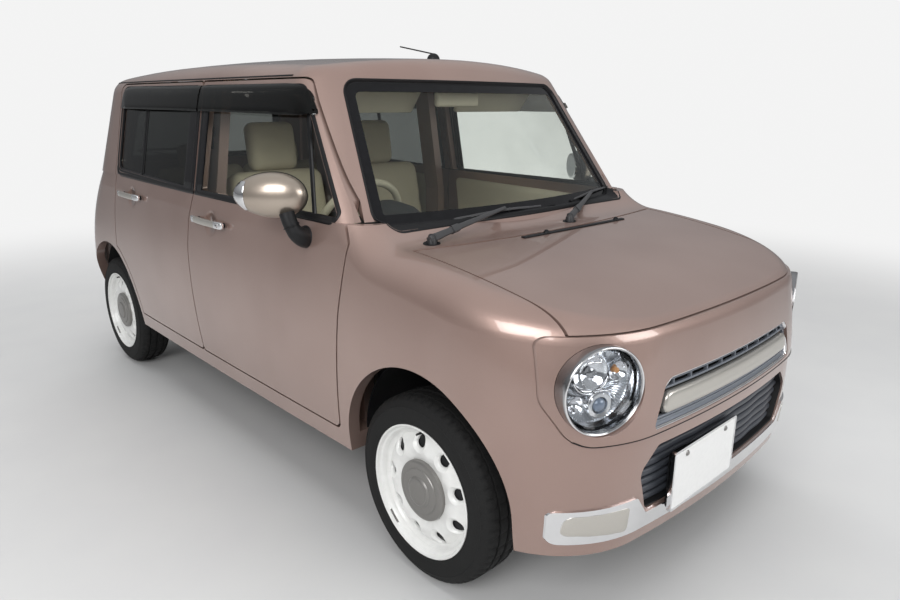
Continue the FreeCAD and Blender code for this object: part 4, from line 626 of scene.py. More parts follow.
def disc_with_holes(place, turn_sign):
    """The pressed disc in equal sectors, each round a scooped hole."""
    parts = []
    steps = 40
    directions = [(math.cos(angle), math.sin(angle)) for angle in
                  (2 * math.pi * (step + 0.5) / steps for step in range(steps))]
    for number in range(HOLES):
        middle = HOLE_TURN + number * 2 * math.pi / HOLES
        rings = [[] for row in HOLE_RINGS]
        for out, side in directions:
            reach = sector_reach(out, side)
            hole = (HOLE_OUTWARD if out > 0 else HOLE_INWARD) * (1.0 - 0.06 * abs(side))
            for ring, (share, drop) in zip(rings, HOLE_RINGS):
                far = min(hole * share, reach)
                u = HOLE_RADIUS + out * far + (SCOOP_SHIFT if share < SCOOP_SHARE else 0.0)
                v = side * far
                radius = math.hypot(u, v)
                turn = turn_sign * (middle + math.atan2(v, u))
                ring.append(place @ Vector((radius * math.cos(turn), radius * math.sin(turn),
                                            disc_level(radius) + drop)))
        parts.append(loft(rings, capped=False))
    return joined(*parts)


def tyre_form(step, number, radius, along):
    """Cross cuts in the shoulders and fine ones in the ribs."""
    if radius > 0.272 and 0.040 < abs(along) < 0.060 and step % 4 == 0:
        return radius - 0.0045, along
    if radius > 0.2775 and abs(along) < 0.038 and step % 6 == 3:
        return radius - 0.0030, along
    return radius, along


def build_wheels():
    half = list(TYRE_SIDE) + list(TREAD)
    tyre = half + [(radius, -along) for radius, along in reversed(half[:-1])]
    for sign, corner, y in CORNERS:
        body = "roll_" + corner
        place = (Matrix.Translation((sign * WHEEL_X, y, AXLE_HEIGHT))
                 @ Matrix.Rotation(sign * math.pi / 2, 4, "Y"))
        mesh_piece("tyre_rubber_" + corner, turned(tyre, place, 240, tyre_form), RUBBER, body,
                   30, ("tyre_" + corner,))
        mesh_piece("rim_" + corner, turned(RIM_EDGE, place, 96), WHEEL_WHITE, body, 35,
                   ("wheel_" + corner,))
        mesh_piece("wheel_disc_" + corner, disc_with_holes(place, -sign), WHEEL_WHITE, body,
                   50)
        mesh_piece("wheel_cap_" + corner, turned(CAP, place, 72), CAP_SILVER, body, 30)
        # Black plate behind the disc: painted shade seen through the holes
        mesh_piece("wheel_back_shade_" + corner, turned(WHEEL_BACK_SHADE, place, 48), BLACK, body)
        stem = swept([place @ Vector(point) for point in VALVE], oval(0.0035, 0.0035, 10), (0, 0, 1),
                     [(1.2, 1.2), (1, 1), (0.8, 0.8)])
        mesh_piece("valve_" + corner, stem, BLACK, body)
        weight = swept([place @ Vector((WEIGHT_RADIUS * math.cos(a), WEIGHT_RADIUS * math.sin(a), 0.0672))
                        for a in WEIGHT_TURNS], soft_rect(0.003, 0.0022, 0.001, 2), (sign, 0, 0))
        mesh_piece("balance_weight_" + corner, weight, STEEL, body)


# Side windows, trims, handles and mirrors

FRONT_WINDOW = ((-0.768, 1.006, 0.014), (-0.553, 1.306, 0.070), (-0.496, 1.384, 0.030),
                (0.168, 1.388, 0.016), (0.168, 1.006, 0.014))
REAR_WINDOW = ((0.226, 1.006, 0.014), (0.226, 1.388, 0.016), (1.048, 1.392, 0.050), (1.060, 1.030, 0.040))
TAILGATE_WINDOW = ((-0.470, 1.015, 0.040), (-0.424, 1.312, 0.060), (0.424, 1.312, 0.060),
                   (0.470, 1.015, 0.040))
SCREEN_OUTLINE = ((-0.598, 0.978, 0.040), (-0.508, 1.408, 0.060), (0.508, 1.408, 0.060),
                  (0.598, 0.978, 0.040))
SEAL = ((0, -0.003), (0.04, 0.0012), (0.15, 0.0026), (0.45, 0.0026), (0.62, 0.0010), (0.74, -0.0070),
        (1.0, -0.0082), (1.0, -0.0105), (0.55, -0.0110), (0.40, -0.0040))
FRIT = ((0, -0.0084), (0.5, -0.0084), (1, -0.0084), (1, -0.0089), (0.5, -0.0089), (0, -0.0089))
VISOR = ((0, 0.0022), (0.06, 0.0085), (0.18, 0.0125), (0.45, 0.0160), (0.8, 0.0178), (1, 0.0182),
         (1.02, 0.0168), (0.8, 0.0154), (0.45, 0.0135), (0.2, 0.0100), (0.08, 0.0062), (0.02, 0.0004))
# Smoked visors over the side windows: top and low edges from the pillar between the doors
VISORS = (
    ("front", "door_front_",
     ((0.1865, 1.3975), (0.0, 1.3975), (-0.25, 1.397), (-0.455, 1.395), (-0.520, 1.376), (-0.556, 1.340),
      (-0.578, 1.306)),
     ((0.1865, 1.302), (0.0, 1.301), (-0.22, 1.299), (-0.400, 1.298), (-0.480, 1.298), (-0.535, 1.298),
      (-0.572, 1.300))),
    ("rear", "door_rear_",
     ((0.1985, 1.3975), (0.45, 1.398), (0.70, 1.399), (0.93, 1.400), (1.010, 1.392), (1.056, 1.352),
      (1.066, 1.304)),
     ((0.1985, 1.302), (0.45, 1.302), (0.70, 1.302), (0.88, 1.302), (0.95, 1.302), (1.01, 1.302),
      (1.058, 1.302))))
PILLAR_TOP = 1.391
FRONT_DOOR_END, REAR_DOOR_START = 0.1875, 0.1985
PILLAR_PATCHES = (
    ("front", "door_front_", ((0.128, 1.010), (FRONT_DOOR_END, 1.010), (0.1865, PILLAR_TOP),
                              (0.128, PILLAR_TOP))),
    ("rear", "door_rear_", ((REAR_DOOR_START, 1.010), (0.292, 1.010), (0.292, PILLAR_TOP),
                            (REAR_DOOR_START, PILLAR_TOP))))
# The belt strips: low and high edge, and how they turn the corners of the doors at both ends
BELT_LEVELS = (0.989, 1.013)
FRONT_BELT_CORNER = (((-0.762, 1.020), (-0.759, 1.004), (-0.750, 0.993), (-0.736, 0.989)),
                     ((-0.761, 1.022), (-0.754, 1.014), (-0.745, 1.013), (-0.735, 1.013)))
REAR_BELT_CORNER = (((1.045, 0.996), (1.060, 1.004), (1.070, 1.020), (1.074, 1.040)),
                    ((1.036, 1.018), (1.046, 1.022), (1.056, 1.032), (1.062, 1.044)))
# Bars that part the corner panes: (name, body, foot and head of the front edge, width)
WINDOW_BARS = (("front", "door_front_", (-0.649, 1.008), (-0.546, 1.322), 0.020),
               ("rear", "door_rear_", (0.752, 1.008), (0.742, 1.390), 0.026))
BAR_LIFT = -0.0065
DITCH_START, DITCH_END = -0.430, 1.385
DITCH_LOW, DITCH_HIGH = 1.4185, 1.4240
# Seals seen through the gaps behind the doors: (name, y at the sill, y at the roof, width)
GAP_SEALS = (("middle", 0.216, 0.193, 0.030), ("back", 1.099, 1.088, 0.026))
GAP_RING = ((0, -0.030), (0.2, -0.024), (0.8, -0.024), (1, -0.030))


def flat(rows):
    return [Vector((u, v)) for u, v in rows]


def flat_curve(rows, steps=6):
    return [Vector((point.x, point.y)) for point in curve_through([(u, v, 0) for u, v in rows], steps)]


def stretch_line(first, last, parts):
    a, b = Vector(first), Vector(last)
    return [a + (b - a) * (step / parts) for step in range(parts + 1)]


def window_band(name, rows, body, place, outer, inner, ring, finish, sharp):
    """A closed strip along a window's outline, between two insets."""
    loop = rounded_loop(rows, 8, 0.03)
    piece = banded(inset_loop(loop, outer), inset_loop(loop, inner), ring, place, True)
    mesh_piece(name, piece, finish, body, sharp)


def window_seal(name, rows, body, place, outer=0.012, inner=0.006):
    window_band(name, rows, body, place, -outer, inner, SEAL, RUBBER_TRIM, 50)


def window_frit(name, rows, body, place, wide, inner=0.004):
    """The black border printed on a pane."""
    window_band(name, rows, body, place, inner, wide, FRIT, GLOSS_BLACK, 40)


def patch(name, rows, finish, body, place, lift=0.0018):
    """A thin pad on a surface, with a rounded outline."""
    levels = ((0, -0.003), (0.0004, lift * 0.6), (0.0025, lift))
    mesh_piece(name, pillow(rounded_loop(rows, 4, 0.04), levels, place), finish, body)


def side_strip(name, first, second, body, place):
    mesh_piece(name, banded(first, second, BEAD, place, False), RUBBER_TRIM, body, 60)


def build_glazing_trims():
    for sign, side in SIDES:
        place = side_place(sign)
        front, rear = "door_front_" + side, "door_rear_" + side
        window_seal("front_window_seal_" + side, FRONT_WINDOW, front, place)
        window_seal("rear_window_seal_" + side, REAR_WINDOW, rear, place)
        for label, body, outline in PILLAR_PATCHES:
            rows = [(y, z, 0.004) for y, z in outline]
            patch(label + "_pillar_patch_" + side, rows, GLOSS_BLACK, body + side, place)
        edges = [flat(corner) + stretch_line((-0.70, level), (FRONT_DOOR_END, level), 18)
                 for level, corner in zip(BELT_LEVELS, FRONT_BELT_CORNER)]
        side_strip("front_belt_strip_" + side, *edges, front, place)
        edges = [stretch_line((REAR_DOOR_START, level), (1.020, level + 0.004), 18) + flat(corner)
                 for level, corner in zip(BELT_LEVELS, REAR_BELT_CORNER)]
        side_strip("rear_belt_strip_" + side, *edges, rear, place)
        for label, body, foot, head, wide in WINDOW_BARS:
            edges = [stretch_line((foot[0] + shift, foot[1]), (head[0] + shift, head[1]), 8)
                     for shift in (0, wide)]
            side_strip(label + "_window_bar_" + side, *edges, body + side, lifted(place, BAR_LIFT))
        for label, body, top_rows, low_rows in VISORS:
            top, low = flat_curve(top_rows), flat_curve(low_rows)
            fades = [min(1.0, 0.25 + (len(top) - 1 - index) / 14) for index in range(len(top))]
            shape = banded(top, low, VISOR, place, False, fades)
            mesh_piece(label + "_visor_" + side, shape, SMOKE, body + side)
        edges = [stretch_line((DITCH_START, z), (DITCH_END, z), 44) for z in (DITCH_LOW, DITCH_HIGH)]
        side_strip("roof_ditch_strip_" + side, *edges, "root", place)
        for label, y_low, y_high, width in GAP_SEALS:
            line = flat(((y_low, 0.42), (y_low, 0.70), (y_low, 0.90), (y_high, 1.00), (y_high, 1.20),
                         (y_high - 0.004, 1.39)))
            edges = [[point + Vector((shift, 0)) for point in line] for shift in (-width / 2, width / 2)]
            mesh_piece("door_gap_seal_" + label + "_" + side,
                       banded(*edges, GAP_RING, side_sheet(sign), False), RUBBER_TRIM, "root", 60)


# The disc lies this far over the panel, and looks this far ahead for the panel's run
DISH_LIFT = 0.0010
DISH_PROBE = 0.004


def dished_disc(name, centre, radius, depth, body, place):
    """A thin disc on the panel whose shading normals tip inward as a round dish's do."""
    points, normals, faces = [], [], []
    rows, steps = 12, 48
    for row in range(rows + 1):
        share = row / rows
        slope = 4 * depth / radius * share * (1 - share * share)
        for step in range(steps):
            angle = 2 * math.pi * step / steps
            across = Vector((math.cos(angle), math.sin(angle)))
            point, normal = place(*(Vector(centre) + across * (radius * share)))
            ahead = place(*(Vector(centre) + across * (radius * share + DISH_PROBE)))[0]
            outward = (ahead - point).normalized()
            points.append(point + normal * DISH_LIFT)
            normals.append((normal - outward * slope).normalized())
    for row in range(rows):
        faces += ring_faces(row * steps, (row + 1) * steps, steps)
    mesh = bpy.data.meshes.new(name)
    mesh.from_pydata([tuple(point) for point in points], [], faces)
    if mesh.polygons[-1].normal.dot(normals[-1]) < 0:
        mesh.flip_normals()
    mesh.materials.append(PAINT)
    mesh.shade_smooth()
    mesh.normals_split_custom_set_from_vertices([tuple(normal) for normal in normals])
    piece = bpy.data.objects.new(name, mesh)
    bpy.context.scene.collection.objects.link(piece)
    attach(piece, body)


def grip_bar(name, centre, rows, finish, body, sign):
    """A bar along the side: rows of (offset, lift, scale wide, scale thick)."""
    place = side_place(sign)
    path = [raised(place, centre[0] + offset, centre[1], lift) for offset, lift, wide, thick in rows]
    bar = swept(path, soft_rect(0.0125, 0.0065, 0.0050, 4), (sign, 0, 0), [row[2:] for row in rows])
    mesh_piece(name, bar, finish, body, 45)


# Door handles: rows of (offset along the car, lift, scale wide, scale thick), nose first
HANDLE_BAR = ((-0.086, 0.0262, 0.98, 0.96), (-0.045, 0.0292, 1, 1), (0, 0.0302, 1, 1),
              (0.045, 0.0292, 1, 1), (0.089, 0.0260, 0.98, 0.96))
HANDLE_NOSE = ((-0.1310, 0.0165, 0.25, 0.30), (-0.1300, 0.0168, 0.62, 0.70), (-0.1265, 0.0178, 0.92, 1.05),
               (-0.119, 0.0200, 1.08, 1.30), (-0.106, 0.0232, 1.10, 1.28), (-0.094, 0.0254, 1.04, 1.12),
               (-0.084, 0.0264, 1.02, 1.04))
HANDLE_TAIL = ((0.087, 0.0262, 1.02, 1.04), (0.100, 0.0244, 1.05, 1.14), (0.114, 0.0214, 1.06, 1.26),
               (0.1245, 0.0186, 0.94, 1.10), (0.1295, 0.0172, 0.62, 0.72), (0.1310, 0.0168, 0.25, 0.30))
HANDLE_FOOT = ((0.0, 0.020), (0.0075, 0.020), (0.0080, 0.006), (0.0105, 0.0012), (0.0110, -0.003),
               (0.0, -0.003))
HANDLE_FEET = (-0.104, 0.106)
# Each door's handle: (name, body, centre)
HANDLES = (("front", "door_front_", (0.028, 0.905)), ("rear", "door_rear_", (0.860, 0.921)))
LOCK_CENTRE = (-0.079, 0.9045)
LOCK_LIFT = 0.0316
LOCK_BARREL = ((0.0, 0.0016), (0.0075, 0.0016), (0.0084, 0.0010), (0.0088, -0.003), (0.0, -0.003))


def build_door_handles():
    for sign, side in SIDES:
        place = side_place(sign)
        for label, body, (y, z) in HANDLES:
            body += side
            dished_disc(label + "_handle_dish_" + side, (y + 0.006, z - 0.004), 0.050, 0.012, body, place)
            for part, rows, finish in (("bar", HANDLE_BAR, SATIN), ("nose", HANDLE_NOSE, BRIGHT_CAST),
                                       ("tail", HANDLE_TAIL, BRIGHT_CAST)):
                grip_bar("%s_handle_%s_%s" % (label, part, side), (y, z), rows, finish, body, sign)
            # The feet are black rubber; their dark also stands as painted shade at the handle's ends
            feet = [turned(HANDLE_FOOT, standing(*place(y + offset, z)), 32) for offset in HANDLE_FEET]
            mesh_piece(label + "_handle_feet_" + side, joined(*feet), RUBBER_TRIM, body)
        turn = standing(*lifted(place, LOCK_LIFT)(*LOCK_CENTRE))
        mesh_piece("door_lock_" + side, turned(LOCK_BARREL, turn, 32), BRIGHT_CAST, "door_front_" + side)
        slot = swept([turn @ Vector((-0.0045, 0, 0.0016)), turn @ Vector((0.0045, 0, 0.0016))],
                     oval(0.0011, 0.0006, 8), turn.to_3x3() @ Vector((0, 0, 1)))
        mesh_piece("door_lock_slot_" + side, slot, BLACK, "door_front_" + side)


MIRROR_CENTRE = (0.775, -0.543, 1.067)
MIRROR_SWING = math.radians(50)
MIRROR_HALF = (0.1150, 0.0690, 0.0560)
MIRROR_TAPER = 0.12
MIRROR_FACE = -0.0395
INNER_HALF = (0.1165, 0.0705, 0.040)
# The bright crescent on the shell: its half angle, its section (share across, lift), its outer edge,
# its width and its half height as shares of the shell, and how near to the shell's rim it may come
CRESCENT_TURN = 52
CRESCENT_RING = ((0, 0.0004), (0.06, 0.0022), (0.5, 0.0026), (0.94, 0.0022), (1, 0.0004), (0.5, 0.0))
CRESCENT_EDGE, CRESCENT_WIDTH, CRESCENT_HIGH = 0.955, 0.36, 0.83
CRESCENT_LIMIT = 0.985
# The mirror's arm, x outward
MIRROR_ARM = ((0.6985, -0.620, 0.940), (0.724, -0.632, 0.943), (0.748, -0.630, 0.962),
              (0.758, -0.620, 0.990), (0.762, -0.610, 1.020))
PIVOT_RING = ((0.0, -0.002), (0.0262, -0.002), (0.0262, 0.002), (0.0, 0.002))
MIRROR_FOOT = (-0.620, 0.941, 0.037, 0.034)


def mirror_shell(place, half, low, high, rim, rows=18, steps=40):
    """Part of an egg between two angles, long along local X and bulging along +Z."""
    rings = []
    for row in range(rows + 1):
        angle = math.radians(low) + math.radians(high - low) * row / rows
        flat_share, bulge = math.cos(angle), math.sin(angle)
        ring = []
        for step in range(steps):
            turn = 2 * math.pi * step / steps
            u = half[0] * flat_share * math.cos(turn)
            v = half[1] * flat_share * math.sin(turn) * (1 - MIRROR_TAPER * math.cos(turn))
            ring.append(place @ Vector((u, v, half[2] * bulge + rim)))
        rings.append(ring)
    return loft(rings)


def mirror_crescent(place):
    """A band that lies on the shell's outer end, broad in the middle and pointed at both ends."""
    wide, high, deep = MIRROR_HALF
    rows = []
    for row in range(15):
        turn = math.radians(CRESCENT_TURN * (row / 7 - 1))
        ring = []
        for share, lift in CRESCENT_RING:
            level = CRESCENT_EDGE - CRESCENT_WIDTH * (1 - share) * math.cos(turn) ** 0.6
            v = CRESCENT_HIGH * math.sin(turn)
            u = level * math.sqrt(max(0.0, 1 - 0.80 * v ** 2))
            if u * u + v * v > CRESCENT_LIMIT:
                scale = math.sqrt(CRESCENT_LIMIT / (u * u + v * v))
                u, v = u * scale, v * scale
            bulge = math.sqrt(max(0.0, 1 - u * u - v * v))
            point = Vector((wide * u, high * v * (1 - MIRROR_TAPER * u), deep * bulge))
            normal = Vector((u / wide, v / high, bulge / deep)).normalized()
            ring.append(place @ (point + normal * lift))
        rows.append(ring)
    return loft(rows)


def build_mirrors():
    for sign, side in SIDES:
        body = "door_front_" + side
        x, y, z = MIRROR_CENTRE
        along = Vector((sign * math.cos(MIRROR_SWING), math.sin(MIRROR_SWING), 0))
        outward = Vector((sign * math.sin(MIRROR_SWING), -math.cos(MIRROR_SWING), 0))
        place = Matrix((along, Vector((0, 0, 1)), outward)).transposed().to_4x4()
        place.translation = Vector((sign * x, y, z))

        def glass_place(u, v):
            return place @ Vector((u, v, MIRROR_FACE)), -outward
        mesh_piece("mirror_shell_" + side, mirror_shell(place, MIRROR_HALF, -8, 89, 0), CHAMPAGNE, body,
                   60, ("door_mirror_" + side,))
        mesh_piece("mirror_inner_shell_" + side, mirror_shell(place, INNER_HALF, -64, 4, -0.004, 8), BLACK,
                   body, 60)
        glass = pillow(ellipse(0, 0, 0.094, 0.056, 40), ((0, -0.004), (0.001, 0.0015), (0.003, 0.0025)),
                       glass_place)
        mesh_piece("mirror_glass_" + side, glass, MIRROR, body)
        mesh_piece("mirror_crescent_" + side, mirror_crescent(place), CHROME, body, 50)
        arm = curve_through([(sign * x, y, z) for x, y, z in MIRROR_ARM], 6)
        scales = [(1.30 - 0.42 * min(1, step / 14),) * 2 for step in range(len(arm))]
        mesh_piece("mirror_arm_" + side, swept(arm, oval(0.027, 0.024, 24), (0, -1, 0.02), scales), BLACK,
                   body, 50)
        turn = standing(arm[16], arm[17] - arm[15])
        mesh_piece("mirror_pivot_ring_" + side, turned(PIVOT_RING, turn, 32), RUBBER_TRIM, body)
        foot = pillow(ellipse(*MIRROR_FOOT), ((-0.002, -0.004), (0, 0.0025), (0.004, 0.007),
                                              (0.010, 0.0095)), side_place(sign))
        mesh_piece("mirror_foot_" + side, foot, BLACK, body)


# Windscreen, wipers and washers

def build_screen():
    window_seal("windscreen_moulding", SCREEN_OUTLINE, "root", front_place, 0.006, 0.010)
    window_frit("windscreen_border", SCREEN_OUTLINE, "root", front_place, 0.036, 0.009)
    window_seal("tailgate_window_seal", TAILGATE_WINDOW, "tailgate_body", rear_place, 0.010, 0.006)
    window_frit("tailgate_window_border", TAILGATE_WINDOW, "tailgate_body", rear_place, 0.030)


# Each wiper: pivot, end of the arm, start and end of the blade
WIPERS = (((-0.505, -0.978, 0.946), (-0.118, -0.897, 0.997), (-0.339, -0.884, 0.985),
           (0.155, -0.899, 0.990)),
          ((0.124, -0.993, 0.944), (0.427, -0.852, 1.004), (0.257, -0.889, 0.992),
           (0.588, -0.820, 1.012)))
SCREEN_NORMAL = Vector((0, -0.82, 0.573))
PIVOT_RISE = Vector((0, 0, 0.014))
# Rows of (share of the length, height over the glass)
ARM_RISE = ((-0.03, 0), (0.10, 0.004), (0.30, 0.010), (0.70, 0.014), (1, 0.014))
BRIDGE = ((-0.30, 0.007), (-0.24, 0.0105), (-0.10, 0.0165), (0, 0.018), (0.10, 0.0165), (0.22, 0.0105),
          (0.27, 0.007))
CLAW = ((-0.16, 0.003), (-0.12, 0.0062), (0, 0.0085), (0.12, 0.0062), (0.16, 0.003))
BLADE_RUBBER = ((-0.0032, 0.0035), (0.0032, 0.0035), (0.0032, 0.0018), (0.0010, 0.0010),
                (0.0008, -0.0030), (-0.0008, -0.0030), (-0.0010, 0.0010), (-0.0032, 0.0018))
PIVOT_CAP = ((0.0, 0.007), (0.007, 0.006), (0.0105, 0.003), (0.0115, -0.004), (0.0145, -0.010),
             (0.0150, -0.026), (0.0, -0.026))
WASHER_STRIP = ((0, -0.002), (0.02, 0.0030), (0.12, 0.0042), (0.88, 0.0042), (0.98, 0.0030), (1, -0.002))
NOZZLE = ((0.0, 0.0092), (0.004, 0.0088), (0.0072, 0.0062), (0.0090, 0.0020), (0.0105, 0.0),
          (0.0105, -0.002), (0.0, -0.002))


def over_screen(start, line, rows, middle=0):
    """Points at shares of a line, counted from the middle's, each lifted off the windscreen."""
    return [start + line * (middle + share) + SCREEN_NORMAL * lift for share, lift in rows]


def build_wipers():
    parts = {"arm": [], "blade": [], "rubber": [], "cap": []}

    def lay(part, path, section, up=SCREEN_NORMAL, scales=None):
        parts[part].append(swept(path, section, up, scales))
    for wiper in WIPERS:
        pivot, end, start, finish = (Vector(point) for point in wiper)
        base = pivot + PIVOT_RISE
        line = end - base
        arm = curve_through(over_screen(base, line, ARM_RISE), 5)
        shares = [step / (len(arm) - 1) for step in range(len(arm))]
        lay("arm", arm, soft_rect(0.0105, 0.0062, 0.0035, 3), scales=[
            (1.25 - 0.75 * share if share > 0.05 else 0.95, 1.25 - 0.65 * share) for share in shares])
        knuckle, reach = base + line * 0.27 + SCREEN_NORMAL * 0.009, line.normalized() * 0.016
        lay("arm", [knuckle - reach, knuckle + reach], soft_rect(0.0118, 0.0088, 0.003, 3))
        parts["cap"].append(turned(PIVOT_CAP, Matrix.Translation(base + Vector((0, 0, 0.008))), 32))
        blade = finish - start
        middle = (end - start).dot(blade) / blade.length_squared
        lay("blade", curve_through(over_screen(start, blade, BRIDGE, middle), 3),
            soft_rect(0.0042, 0.0028, 0.001, 2))
        for share in (middle - 0.27, middle + 0.24):
            lay("blade", curve_through(over_screen(start, blade, CLAW, share), 3),
                soft_rect(0.0034, 0.0022, 0.0008, 2))
        lay("rubber", over_screen(start, blade, [(share / 16, 0.0006) for share in range(17)]),
            BLADE_RUBBER)
        for share in (middle - 0.05, middle + 0.05):
            lay("blade", over_screen(start, blade, ((share, 0.010), (share, 0.021))),
                soft_rect(0.0052, 0.0020, 0.0008, 2), blade.normalized())
    for name, part, finish, replaced in (
            ("wiper_arms", "arm", WIPER_GREY, ("wipers",)), ("wiper_blades", "blade", WIPER_GREY, ()),
            ("wiper_rubbers", "rubber", RUBBER_TRIM, ()), ("wiper_pivot_caps", "cap", CHASSIS, ())):
        mesh_piece(name, joined(*parts[part]), finish, "root", 45, replaced)
    for number, wiper in enumerate(WIPERS, 1):
        grommet = pillow(ellipse(*wiper[0][:2], 0.030, 0.019),
                         ((-0.001, -0.002), (0, 0.0010), (0.0025, 0.0012)), top_place)
        mesh_piece("wiper_grommet_%d" % number, grommet, RUBBER_TRIM)
    edges = [stretch_line((-0.206, y), (0.338, y), 24) for y in (-1.0755, -1.0590)]
    mesh_piece("washer_strip", banded(*edges, WASHER_STRIP, top_place, False), RUBBER_TRIM, "bonnet")
    for number, x in enumerate((-0.093, 0.294), 1):
        turn = Matrix.Translation(raised(top_place, x, -1.067, 0.0040))
        mesh_piece("washer_nozzle_%d" % number, turned(NOZZLE, turn, 24), RUBBER_TRIM, "bonnet")


# Headlamps

LAMP_CENTRE = (0.535, -1.6175, 0.694)
LAMP_TILT = math.radians(20)
BEZEL = ((0.1115, -0.044), (0.1120, -0.004), (0.1117, 0.0006), (0.1105, 0.0028), (0.1085, 0.0036),
         (0.1062, 0.0032), (0.1046, 0.0016), (0.1036, -0.0020), (0.1022, -0.0160), (0.0995, -0.0300),
         (0.0970, -0.0400), (0.1000, -0.0440))
FLUTED = ((0.0, -0.0460), (0.030, -0.0458), (0.055, -0.0450), (0.075, -0.0430), (0.090, -0.0390),
          (0.0990, -0.0310), (0.0995, -0.0480), (0.0, -0.0500))


def flute(step, number, radius, along):
    """Fine radial flutes on the reflector plate."""
    if 0.02 < radius < 0.096 and along > -0.047:
        return radius, along + (0.0011 if step % 2 else -0.0011)
    return radius, along


def bowl(radius, depth, lip, front, rows=9):
    """Profile of a parabolic reflector opening along +Z, with its outer wall and lip."""
    inside = [(radius * row / rows, front - depth * (1 - (row / rows) ** 2)) for row in range(rows + 1)]
    return inside + [(radius + lip, front + 0.0012), (radius + lip * 1.6, front - 0.0030),
                     (radius + lip * 1.2, front - depth * 0.8), (0.0, front - depth - 0.003)]


LAMP_LIP = [(0.1088 + x, 0.0034 + y) for x, y in oval(0.0022, 0.0016)]
BULB_SHIELD = ((0.0, 0.0), (0.008, -0.0008), (0.0125, -0.0035), (0.0135, -0.008), (0.0130, -0.020),
               (0.0, -0.022))
LOW_BOWL = ((0.0190, -0.006), (0.0215, -0.001), (0.0300, 0.0010), (0.0325, -0.0010), (0.0330, -0.0250),
            (0.0180, -0.0250))
QUARTER = [math.pi / 2 * row / 8 for row in range(9)]
LOW_LENS = ([(0.0178 * math.sin(a), -0.006 + 0.0115 * math.cos(a)) for a in QUARTER]
            + [(0.0178, -0.016), (0.0, -0.018)])
SIGNAL_BULB = ((0.0, -0.0035), (0.0045, -0.0045), (0.0070, -0.0080), (0.0070, -0.018), (0.0, -0.019))
RIM_BAND = ((0.0960, -0.036), (0.0985, -0.0250), (0.0965, -0.0180), (0.0945, -0.0260), (0.0925, -0.036))
# Places in the lamp: outward, upward and forward of its middle
LAMP_MIDDLE = (0, 0, 0)
HIGH_BEAM = (0.034, 0.047, -0.008)
LOW_BEAM = (0.006, -0.036, -0.006)
SIGNAL = (-0.052, 0.036, -0.020)
PARK = (0.060, -0.035, -0.024)
LAMP_PARTS = (("lip", LAMP_MIDDLE, LAMP_LIP, 96, CHROME, 40),
              ("rim_band", LAMP_MIDDLE, RIM_BAND, 96, CHROME, 50),
              ("high_bowl", HIGH_BEAM, bowl(0.0440, 0.030, 0.0022, -0.006), 64, CHROME, 35),
              ("bulb_shield", HIGH_BEAM, BULB_SHIELD, 32, DARK_CHROME, 35),
              ("low_bowl", LOW_BEAM, LOW_BOWL, 64, CHROME, 35),
              ("projector", LOW_BEAM, LOW_LENS, 48, PROJECTOR, 50),
              ("signal_bowl", SIGNAL, bowl(0.0235, 0.016, 0.0018, -0.004), 40, CHROME, 35),
              ("signal_bulb", SIGNAL, SIGNAL_BULB, 24, AMBER, 50),
              ("park_bowl", PARK, bowl(0.0190, 0.014, 0.0016, -0.004), 40, CHROME, 35))
# Chrome walls that part the two bowls: (centre, radius, first and last degree, lift)
LAMP_WALLS = ((HIGH_BEAM, 0.0500, 200, 345, -0.010), (LOW_BEAM, 0.0395, 20, 165, -0.006))


def build_headlamps():
    for sign, side in SIDES:
        x, y, z = LAMP_CENTRE
        place = (Matrix.Translation((sign * x, y, z)) @ Matrix.Rotation(sign * LAMP_TILT, 4, "Z")
                 @ Matrix.Rotation(math.pi / 2, 4, "X"))

        def inside(centre):
            outward, upward, forward = centre
            return place @ Matrix.Translation((sign * outward, upward, forward))
        replaced = ("headlamp_housings",) if sign < 0 else ()
        mesh_piece("headlamp_bezel_" + side, turned(BEZEL, place, 96), DARK_CHROME, "root", 40,
                   replaced)
        mesh_piece("headlamp_reflector_" + side, turned(FLUTED, place, 144, flute), LAMP_SILVER, "root",
                   15)
        for label, centre, profile, steps, finish, sharp in LAMP_PARTS:
            mesh_piece("headlamp_%s_%s" % (label, side), turned(profile, inside(centre), steps), finish,
                       "root", sharp)
        for number, (centre, radius, first, last, lift) in enumerate(LAMP_WALLS, 1):
            turns = [math.radians(degree) for degree in range(first, last + 1, 6)]
            path = [inside(centre) @ Vector((radius * math.cos(a), radius * math.sin(a), lift))
                    for a in turns]
            wall = swept(path, soft_rect(0.0016, 0.011, 0.0012, 2), place.to_3x3() @ Vector((0, 0, 1)))
            mesh_piece("headlamp_divider_%d_%s" % (number, side), wall, CHROME, "root", 50)


# Grilles, plate and bumper inserts

UPPER_OPENING = ((-0.400, 0.5670, 0.012), (-0.372, 0.664, 0.022), (-0.330, 0.6940, 0.030),
                 (0.330, 0.6940, 0.030), (0.372, 0.664, 0.022), (0.400, 0.5670, 0.012))
UPPER_FRAME = ((0, -0.030), (0.0, -0.001), (0.15, 0.0036), (0.45, 0.0046), (0.78, 0.0034),
               (0.95, 0.0006), (1.0, -0.004), (1.02, -0.030))
UPPER_SURROUND = ((0, -0.020), (0, -0.0035), (0.5, -0.0060), (0.95, -0.0070), (1, -0.020))
BROAD_BAR = ((-0.3615, 0.6000, 0.020), (-0.3500, 0.6560, 0.026), (0.3500, 0.6560, 0.026),
             (0.3615, 0.6000, 0.020))
BROAD_LEVELS = ((0.0, -0.018), (0.0, -0.0020), (0.0006, 0.0020), (0.0026, 0.0048), (0.0062, 0.0066),
                (0.0110, 0.0076), (0.0180, 0.0082))
BAR_GAP = ((0, -0.018), (0, -0.0085), (1, -0.0085), (1, -0.018))
